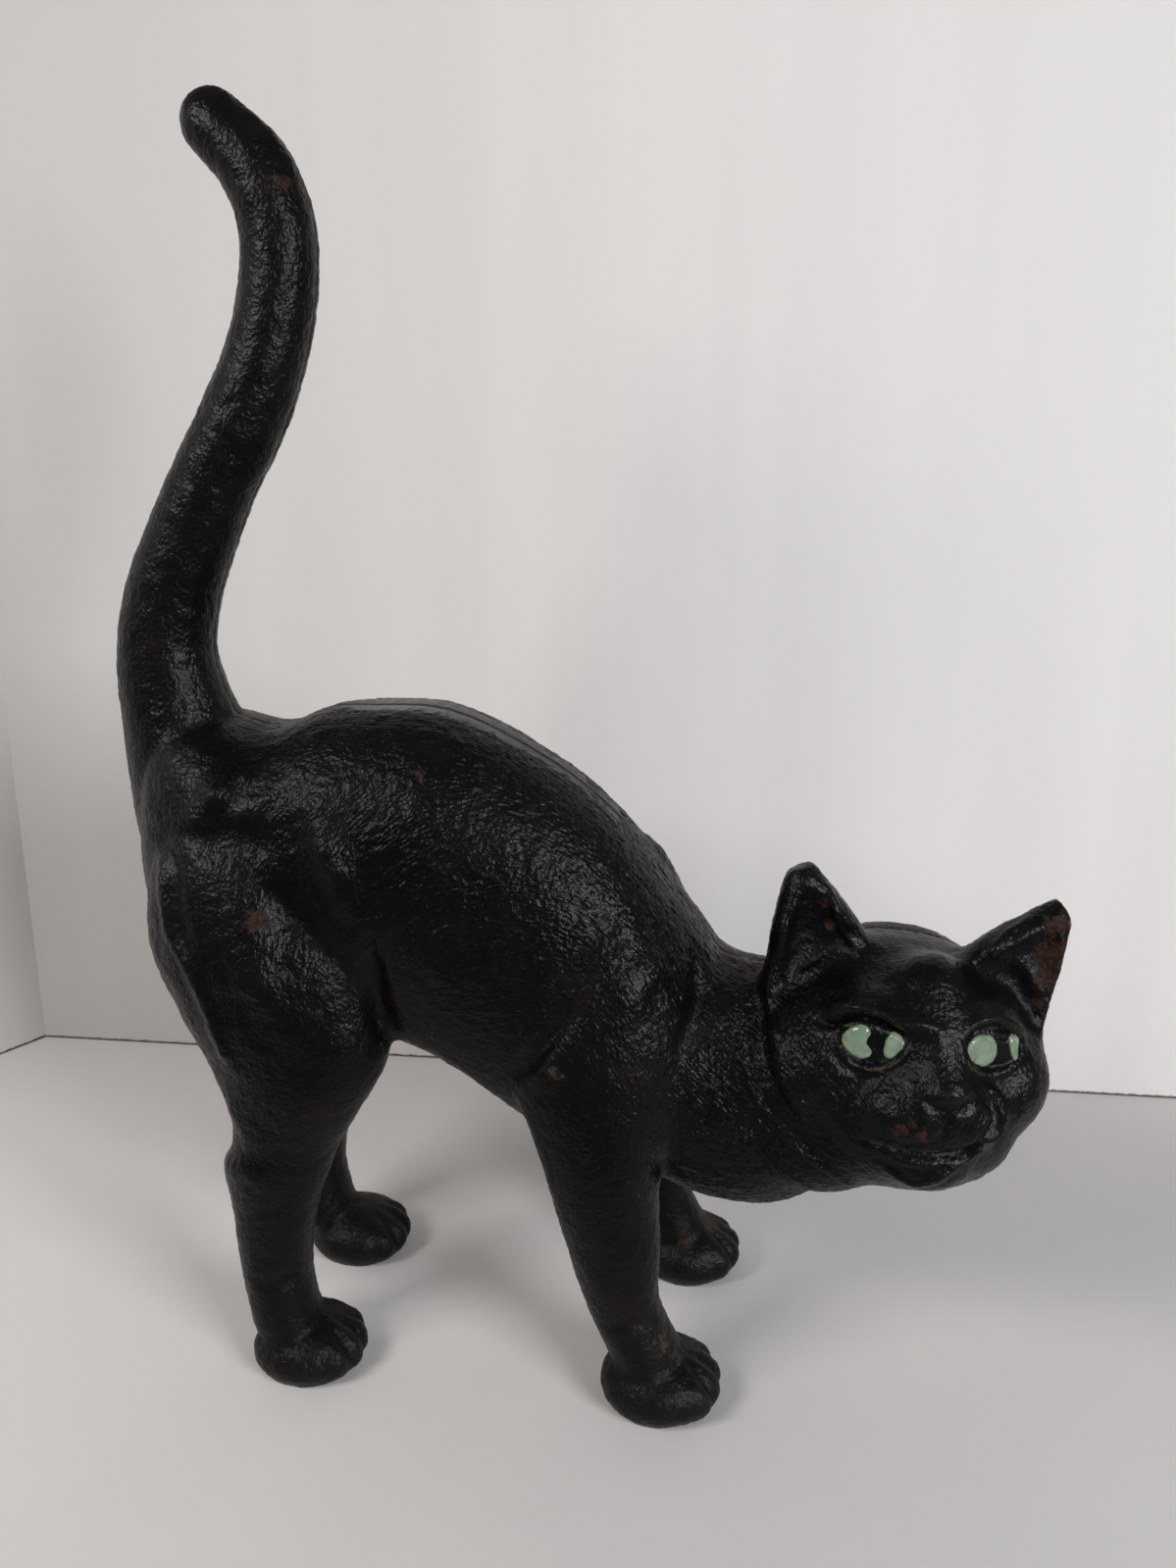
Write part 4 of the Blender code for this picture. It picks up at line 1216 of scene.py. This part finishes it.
dustSpots = [
    ((728, 1103), 2.4, 0.5),
    ((676, 1370), 5.0, 0.55),
    ((690, 1384), 4.0, 0.5),
    ((722, 1246), 6.0, 0.6),
    ((244, 1334), 3.0, 0.35),
    ((521, 1106), 1.8, 0.5),
    ((565, 1095), 3.4, 0.5),
    ((793, 1057), 0.7, 1.4),
]


def around(at, spots):
    amounts = np.zeros(len(at))
    for point, reach, amount in spots:
        gap = ((at - seen(finishedSkin, [point]) / mm) ** 2).sum(1) / (2 * (0.6 * reach) ** 2)
        amounts = np.maximum(amounts, amount * np.exp(-gap))
    return amounts


# Measures along the skin that the finishes use
def skinMeasures(half):
    modified(half, "TRIANGULATE")
    places, normals = meshArrays(half)
    edges = meshEdges(half)
    at = places / mm
    own = inHead(places)
    bent = np.zeros(len(at))
    for k in range(3):
        bent += (spread(places[:, k], edges, 14) - places[:, k]) / mm * normals[:, k]
    rust = around(at, rustSpots)
    dust = around(at, dustSpots)
    flat = own * np.array([1, 0, 1])
    for amount, width, points in dustLines:
        line = inHead(seen(finishedSkin, points)) * np.array([1, 0, 1])
        dust = np.maximum(dust, amount * strokeWeight(flat, line, width) * (own[:, 1] < -8))
    lie, strength = furField(places, normals)
    onBack = (abs(at[:, 1]) < seamWork["filedWide"]) * (at[:, 2] > 90) * (at[:, 2] < seamWork["below"])
    flatTop = smoothStep(0.14, 0.06, abs(normals[:, 1])) * (normals[:, 2] > 0)
    filed = filedShare(at[:, 0]) * onBack * flatTop
    strength *= 1 - filed
    measures = {"hollow": bent, "rust": rust, "dust": dust, "furStrength": strength, "filed": filed}
    for name, values in measures.items():
        half.data.attributes.new(name, "FLOAT", "POINT").data.foreach_set("value", values)
    across = np.cross(normals, lie)
    layer = half.data.attributes.new("furAcross", "FLOAT_VECTOR", "POINT")
    layer.data.foreach_set("vector", across.ravel())


for half in (rightHalf, leftHalf):
    skinMeasures(half)
print("measured")


def isNumber(term):
    return term.socket.type == "VALUE" if isinstance(term, Wire) else isinstance(term, (int, float))


# One output of a material's node tree, with plain arithmetic that adds the nodes
class Wire:
    def __init__(self, tree, socket):
        self.tree = tree
        self.socket = socket

    def add(self, kind, settings=None, values=None, out=0):
        node = self.tree.nodes.new(kind)
        for key, value in (settings or {}).items():
            setattr(node, key, value)
        for key, value in (values or {}).items():
            entry = node.inputs[key]
            if isinstance(value, Wire):
                self.tree.links.new(value.socket, entry)
            else:
                entry.default_value = value
        return Wire(self.tree, node.outputs[out])

    def worked(self, operation, *terms):
        if all(isNumber(term) for term in terms):
            return self.add("ShaderNodeMath", {"operation": operation}, dict(enumerate(terms)))
        threes = [(term,) * 3 if isinstance(term, (int, float)) else term for term in terms]
        return self.add("ShaderNodeVectorMath", {"operation": operation}, dict(enumerate(threes)))

    def __add__(self, other):
        return self.worked("ADD", self, other)

    def __radd__(self, other):
        return self.worked("ADD", other, self)

    def __sub__(self, other):
        return self.worked("SUBTRACT", self, other)

    def __rsub__(self, other):
        return self.worked("SUBTRACT", other, self)

    def __mul__(self, other):
        return self.worked("MULTIPLY", self, other)

    def __rmul__(self, other):
        return self.worked("MULTIPLY", other, self)

    def between(self, start, end):
        settings = {"interpolation_type": "SMOOTHSTEP"}
        return self.add("ShaderNodeMapRange", settings, {0: self, 1: start, 2: end, 3: 0.0, 4: 1.0})

    def mix(self, first, second):
        values = {0: self, 6: first, 7: second}
        return self.add("ShaderNodeMix", {"data_type": "RGBA"}, values, out=2)

    def part(self, which):
        return self.add("ShaderNodeSeparateXYZ", None, {0: self}, out=which)


class Finish:
    def __init__(self, name):
        self.material = bpy.data.materials.get(name) or bpy.data.materials.new(name)
        self.material.use_nodes = True
        self.tree = self.material.node_tree
        self.shader = self.tree.nodes["Principled BSDF"]
        self.spot = self.add("ShaderNodeTexCoord", out="Object")

    def add(self, kind, settings=None, values=None, out=0):
        return Wire(self.tree, None).add(kind, settings, values, out)

    def measure(self, name, out="Fac"):
        return self.add("ShaderNodeAttribute", {"attribute_name": name}, None, out)

    def noise(self, size, detail=3.0, rough=0.55, spot=None):
        values = {"Vector": spot or self.spot, "Scale": 1 / (size * mm)}
        values.update({"Detail": detail, "Roughness": rough})
        return self.add("ShaderNodeTexNoise", None, values)

    def bump(self, height, strength, distance, normal=None):
        values = {"Strength": strength, "Distance": distance * mm, "Height": height}
        if normal:
            values["Normal"] = normal
        return self.add("ShaderNodeBump", None, values)

    def give(self, **values):
        for key, value in values.items():
            entry = self.shader.inputs[self.entries[key]]
            if isinstance(value, Wire):
                self.tree.links.new(value.socket, entry)
            else:
                entry.default_value = value

    def clearFromBehind(self):
        behind = self.add("ShaderNodeNewGeometry", out="Backfacing")
        clear = self.add("ShaderNodeBsdfTransparent")
        lit = Wire(self.tree, self.shader.outputs[0])
        both = self.add("ShaderNodeMixShader", None, {0: behind, 1: lit, 2: clear})
        self.tree.links.new(both.socket, self.tree.nodes["Material Output"].inputs["Surface"])

    entries = {
        "colour": "Base Color",
        "roughness": "Roughness",
        "metallic": "Metallic",
        "coat": "Coat Weight",
        "coatRoughness": "Coat Roughness",
        "normal": "Normal",
        "specular": "Specular IOR Level",
    }


def rgb(red, green, blue):
    return (red, green, blue, 1.0)


def blackEnamelIron():
    f = Finish("blackEnamelIron")
    hollow, rust, dust = f.measure("hollow"), f.measure("rust"), f.measure("dust")
    furStrength, filed = f.measure("furStrength"), f.measure("filed")
    across = f.measure("furAcross", "Vector")
    wide = f.noise(26, 3)
    patch = f.noise(7, 4)
    grit = f.noise(0.5, 1, 0.5)
    grain = f.noise(0.9, 2, 0.5)
    trodden = f.spot.part("Z").between(0.034, 0.010)

    black = wide.between(0.35, 0.7).mix(rgb(0.0018, 0.0019, 0.0025), rgb(0.0036, 0.0033, 0.0030))
    # Painted shade: the colour goes darker in the hollows of the skin, and a little lighter grey on its
    # ridges
    black = (hollow.between(0.02, 0.30) * 0.6).mix(black, rgb(0.0018, 0.0019, 0.0030))
    black = (hollow.between(-0.05, -0.35) * 0.35).mix(black, rgb(0.0085, 0.0080, 0.0072))
    brown = patch.between(0.5, 0.72) * wide.between(0.4, 0.65) * 0.45
    black = brown.mix(black, rgb(0.0105, 0.0065, 0.0048))

    fleck = f.noise(1.5, 5, 0.75)
    crumb = f.noise(3.4, 3, 0.6)
    rusty = (rust * 0.95 + fleck * 1.9 + crumb * 1.1 - 2.05).between(0.0, 0.16)
    tint = f.noise(0.9, 3, 0.6).between(0.35, 0.65)
    rustColour = tint.mix(rgb(0.011, 0.0050, 0.0042), rgb(0.034, 0.0135, 0.0088))
    dusty = (dust * 1.1 + fleck * 1.5 - 1.15).between(0.0, 0.3)
    colour = rusty.mix(black, rustColour)
    colour = (dusty * 0.75).mix(colour, rgb(0.050, 0.040, 0.031))
    # Painted glints: small light specks in the colour stand in for sparkle of light on the enamel
    paintedGlint = f.noise(0.8, 1, 0.5).between(0.76, 0.80) * 0.5
    colour = paintedGlint.mix(colour, rgb(0.06, 0.052, 0.045))

    rough = 0.19 + 0.10 * wide + 0.13 * patch + 0.10 * hollow.between(-0.1, 0.3) - 0.12 * filed
    rough = rough + rusty * 0.32 + dusty * 0.25 + trodden * 0.10

    values = {"Vector": f.spot, "Scale": 480.0, "Frequency": 2.2, "Anisotropy": 1.0, "Orientation": across}
    strands = f.add("ShaderNodeTexGabor", {"gabor_type": "3D"}, values, "Value")
    furHeight = strands * furStrength
    normal = f.bump(furHeight, 0.9, 0.17)
    normal = f.bump(grain * (1.0 - 0.8 * filed), 1.0, 0.27, normal)
    normal = f.bump(grit, 0.6, 0.05, normal)
    f.give(colour=colour, roughness=rough, normal=normal, specular=0.13)
    return f.material


def rawIron():
    f = Finish("rawCastIron")
    grain = f.noise(1.2, 4, 0.65)
    wide = f.noise(9, 4)
    scale = wide.between(0.42, 0.62).mix(rgb(0.022, 0.0195, 0.018), rgb(0.048, 0.025, 0.016))
    colour = grain.between(0.45, 0.7).mix(scale, rgb(0.013, 0.011, 0.010))
    normal = f.bump(grain, 0.7, 0.25)
    f.give(colour=colour, roughness=0.62 + 0.25 * wide, metallic=0.25 * grain, normal=normal)
    return f.material


def eyeEnamel():
    f = Finish("eyeEnamel")
    wide = f.noise(3.2, 3, 0.55)
    specks = f.noise(0.42, 3, 0.65)
    edge = f.noise(1.3, 3, 0.6)
    green = wide.between(0.35, 0.65).mix(rgb(0.140, 0.205, 0.135), rgb(0.215, 0.275, 0.185))
    green = (specks.between(0.60, 0.74) * 0.5).mix(green, rgb(0.38, 0.43, 0.28))
    green = (edge.between(0.62, 0.74) * 0.45).mix(green, rgb(0.19, 0.24, 0.12))
    normal = f.bump(edge, 0.25, 0.10)
    f.give(colour=green, roughness=0.16 + 0.16 * wide, coat=0.6, coatRoughness=0.06, normal=normal)
    return f.material


def screwSteel():
    f = Finish("oldScrewSteel")
    wide = f.noise(2.2, 4, 0.6)
    grain = f.noise(0.4, 3, 0.6)
    turned = f.add("ShaderNodeVectorMath", {"operation": "MULTIPLY"}, {0: f.spot, 1: (1.0, 60.0, 1.0)})
    marks = f.noise(0.9, 2, 0.5, spot=turned)
    steel = marks.between(0.35, 0.7).mix(rgb(0.16, 0.15, 0.14), rgb(0.27, 0.26, 0.25))
    painted = wide.between(0.40, 0.56)
    rusty = wide.between(0.44, 0.36)
    colour = painted.mix(steel, rgb(0.016, 0.016, 0.017))
    colour = rusty.mix(colour, rgb(0.10, 0.042, 0.022))
    metal = (1.0 - painted) * (1.0 - rusty)
    normal = f.bump(grain + painted * 1.5, 0.4, 0.06)
    f.give(colour=colour, roughness=0.38 + 0.25 * rusty + 0.1 * grain, metallic=metal, normal=normal)
    return f.material


def board(name, tone, shade, smudge, paintedLightLeft):
    f = Finish(name)
    # Painted shade: soft vertical bands of shade on the standing boards, as strong as shade says; on the
    # floor the same noise only mottles the tone
    stretch = f.add("ShaderNodeVectorMath", {"operation": "MULTIPLY"}, {0: f.spot, 1: (1.0, 1.0, 0.06)})
    bands = f.noise(34, 2, 0.5, spot=stretch)
    fine = f.noise(1.4, 4, 0.6)
    wide = f.noise(130, 2, 0.5)
    colour = (bands.between(0.3, 0.7) * shade).mix(tone, tuple(0.90 * c for c in tone[:3]) + (1.0,))
    colour = (wide.between(0.35, 0.75) * 0.25).mix(colour, tuple(0.93 * c for c in tone[:3]) + (1.0,))
    mark = f.noise(7, 5, 0.75).between(0.70, 0.78) * smudge
    colour = mark.mix(colour, rgb(0.42, 0.38, 0.33))
    foot = f.spot.part("Z")
    # Painted light and shade across the boards: the colour is scaled by the left share at the left, fading
    # to the board's own tone at the right
    side = f.spot.part("X").between(*(x * mm for x in room["paintedLightAcross"]))
    colour = colour * (paintedLightLeft + (1.0 - paintedLightLeft) * side)
    seamShade = (foot + (fine - 0.5) * 0.0012).between(0.0011, 0.0004)
    colour = colour if name == "boardFloor" else seamShade.mix(colour, rgb(0.10, 0.09, 0.08))
    normal = f.bump(fine, 0.06, 0.2)
    f.give(colour=colour, roughness=0.72 + 0.1 * fine, normal=normal, specular=0.25)
    f.clearFromBehind()
    return f.material


blackEnamelIron()
rawIron()
enamel, steel = eyeEnamel(), screwSteel()
for piece in enamelDrops:
    piece.data.materials.append(enamel)
assemblyScrew.data.materials.clear()
assemblyScrew.data.materials.append(steel)
assemblyScrew.data.polygons.foreach_set("material_index", [0] * len(assemblyScrew.data.polygons))

fineEdge = {"rightHalf": 42, "leftHalf": 42, "assemblyScrew": 35}
for piece in (rightHalf, leftHalf, assemblyScrew, *enamelDrops):
    piece.data.shade_smooth()
    piece.data.set_sharp_from_angle(angle=math.radians(fineEdge.get(piece.name, 60)))
    piece.data.transform(Matrix.Translation(toCad))

for piece, node, slotName in (
    (rightHalf, "right_half", "black_enamel_iron"),
    (leftHalf, "left_half", "black_enamel_iron"),
    (assemblyScrew, "assembly_screw", "screw_steel"),
):
    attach(piece, "root")
    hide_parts(node)
for piece in enamelDrops:
    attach(piece, "root")
print("finished the pieces")

room = {
    "wallAt": 124.7,  # millimetres behind the seam
    "foldAt": -203.5,
    "foldTurn": 59,
    "sideLong": 290.0,
    "wallHigh": 350.0,
    "wallRight": 270.0,
    "floorFront": -125.0,
    "floorBehind": 420.0,  # how far the table goes on behind the wall
    "paintedLightAcross": (-260.0, 90.0),  # from where to where the painted light and shade on the boards' left fades into their own tone
    # Painted shade on the wall's left, painted light on the left of the side board and of the floor
    "wallPaintedShadeLeft": 0.71,
    "sidePaintedLightLeft": 1.05,
    "floorPaintedLightLeft": 1.12,
    "floorTone": rgb(0.62, 0.60, 0.585),
    "wallTone": rgb(0.74, 0.715, 0.695),
}


def sheetOf(name, corners, material):
    bm = bmesh.new()
    bm.faces.new([bm.verts.new(Vector(corner) * mm + toCad) for corner in corners])
    bmesh.ops.subdivide_edges(bm, edges=bm.edges[:], cuts=20, use_grid_fill=True)
    thing = put(name, bm)
    face = thing.data.polygons[0]
    inwards = Vector((0, 0, 100)) * mm - face.center
    if face.normal.dot(inwards) < 0:
        thing.data.flip_normals()
    thing.data.materials.append(material)


floorBoard = board("boardFloor", room["floorTone"], 0.15, 0.25, room["floorPaintedLightLeft"])
wallBoard = board("boardWall", room["wallTone"], 0.55, 0.0, room["wallPaintedShadeLeft"])
foldBoard = board("boardFold", room["wallTone"], 0.55, 0.0, room["sidePaintedLightLeft"])
wallY, foldX, high = room["wallAt"], room["foldAt"], room["wallHigh"]
front, right = room["floorFront"], room["wallRight"]
turn = math.radians(room["foldTurn"])
farX = foldX - room["sideLong"] * math.cos(turn)
farY = wallY - room["sideLong"] * math.sin(turn)
back = wallY + room["floorBehind"]
sheetOf("tableTop", [(farX, front, 0), (right, front, 0), (right, back, 0), (farX, back, 0)], floorBoard)


def standingBoard(name, start, end, material):
    sheetOf(name, [(*start, -1), (*end, -1), (*end, high), (*start, high)], material)


standingBoard("backBoard", (foldX, wallY), (right, wallY), wallBoard)
standingBoard("sideBoard", (farX, farY), (foldX, wallY), foldBoard)

lamps = {
    # where it stands (mm), where it points, width, height, watts, colour
    "key": ((-330, -330, 420), (0, 0, 90), 235, 155, 1.75, (1.0, 0.975, 0.95)),
    "window": ((520, -520, 330), (0, 0, 90), 290, 290, 5.0, (0.95, 0.975, 1.0)),
}
for name, (place, target, width, height, watts, colour) in lamps.items():
    light = bpy.data.lights.new(name, "AREA")
    light.shape = "RECTANGLE"
    light.size, light.size_y = width * mm, height * mm
    light.energy = watts
    light.color = colour
    lamp = bpy.data.objects.new(name, light)
    lamp.location = Vector(place) * mm + toCad
    lamp.rotation_euler = (Vector(target) - Vector(place)).to_track_quat("-Z", "Y").to_euler()
    bpy.context.scene.collection.objects.link(lamp)

world = bpy.data.worlds.new("room")
world.use_nodes = True
world.node_tree.nodes["Background"].inputs["Color"].default_value = rgb(0.80, 0.81, 0.84)
world.node_tree.nodes["Background"].inputs["Strength"].default_value = 0.14
bpy.context.scene.world = world

camera = bpy.data.cameras.new("camera")
camera.sensor_width = 36
camera.lens = view["focal"] / view["high"] * camera.sensor_width
camera.clip_start = 0.01
camera.clip_end = 10
viewer = bpy.data.objects.new("camera", camera)
viewer.matrix_world = Matrix.Translation(toCad) @ viewPlace
bpy.context.scene.collection.objects.link(viewer)
bpy.context.scene.camera = viewer
bpy.context.scene.view_settings.view_transform = "Standard"
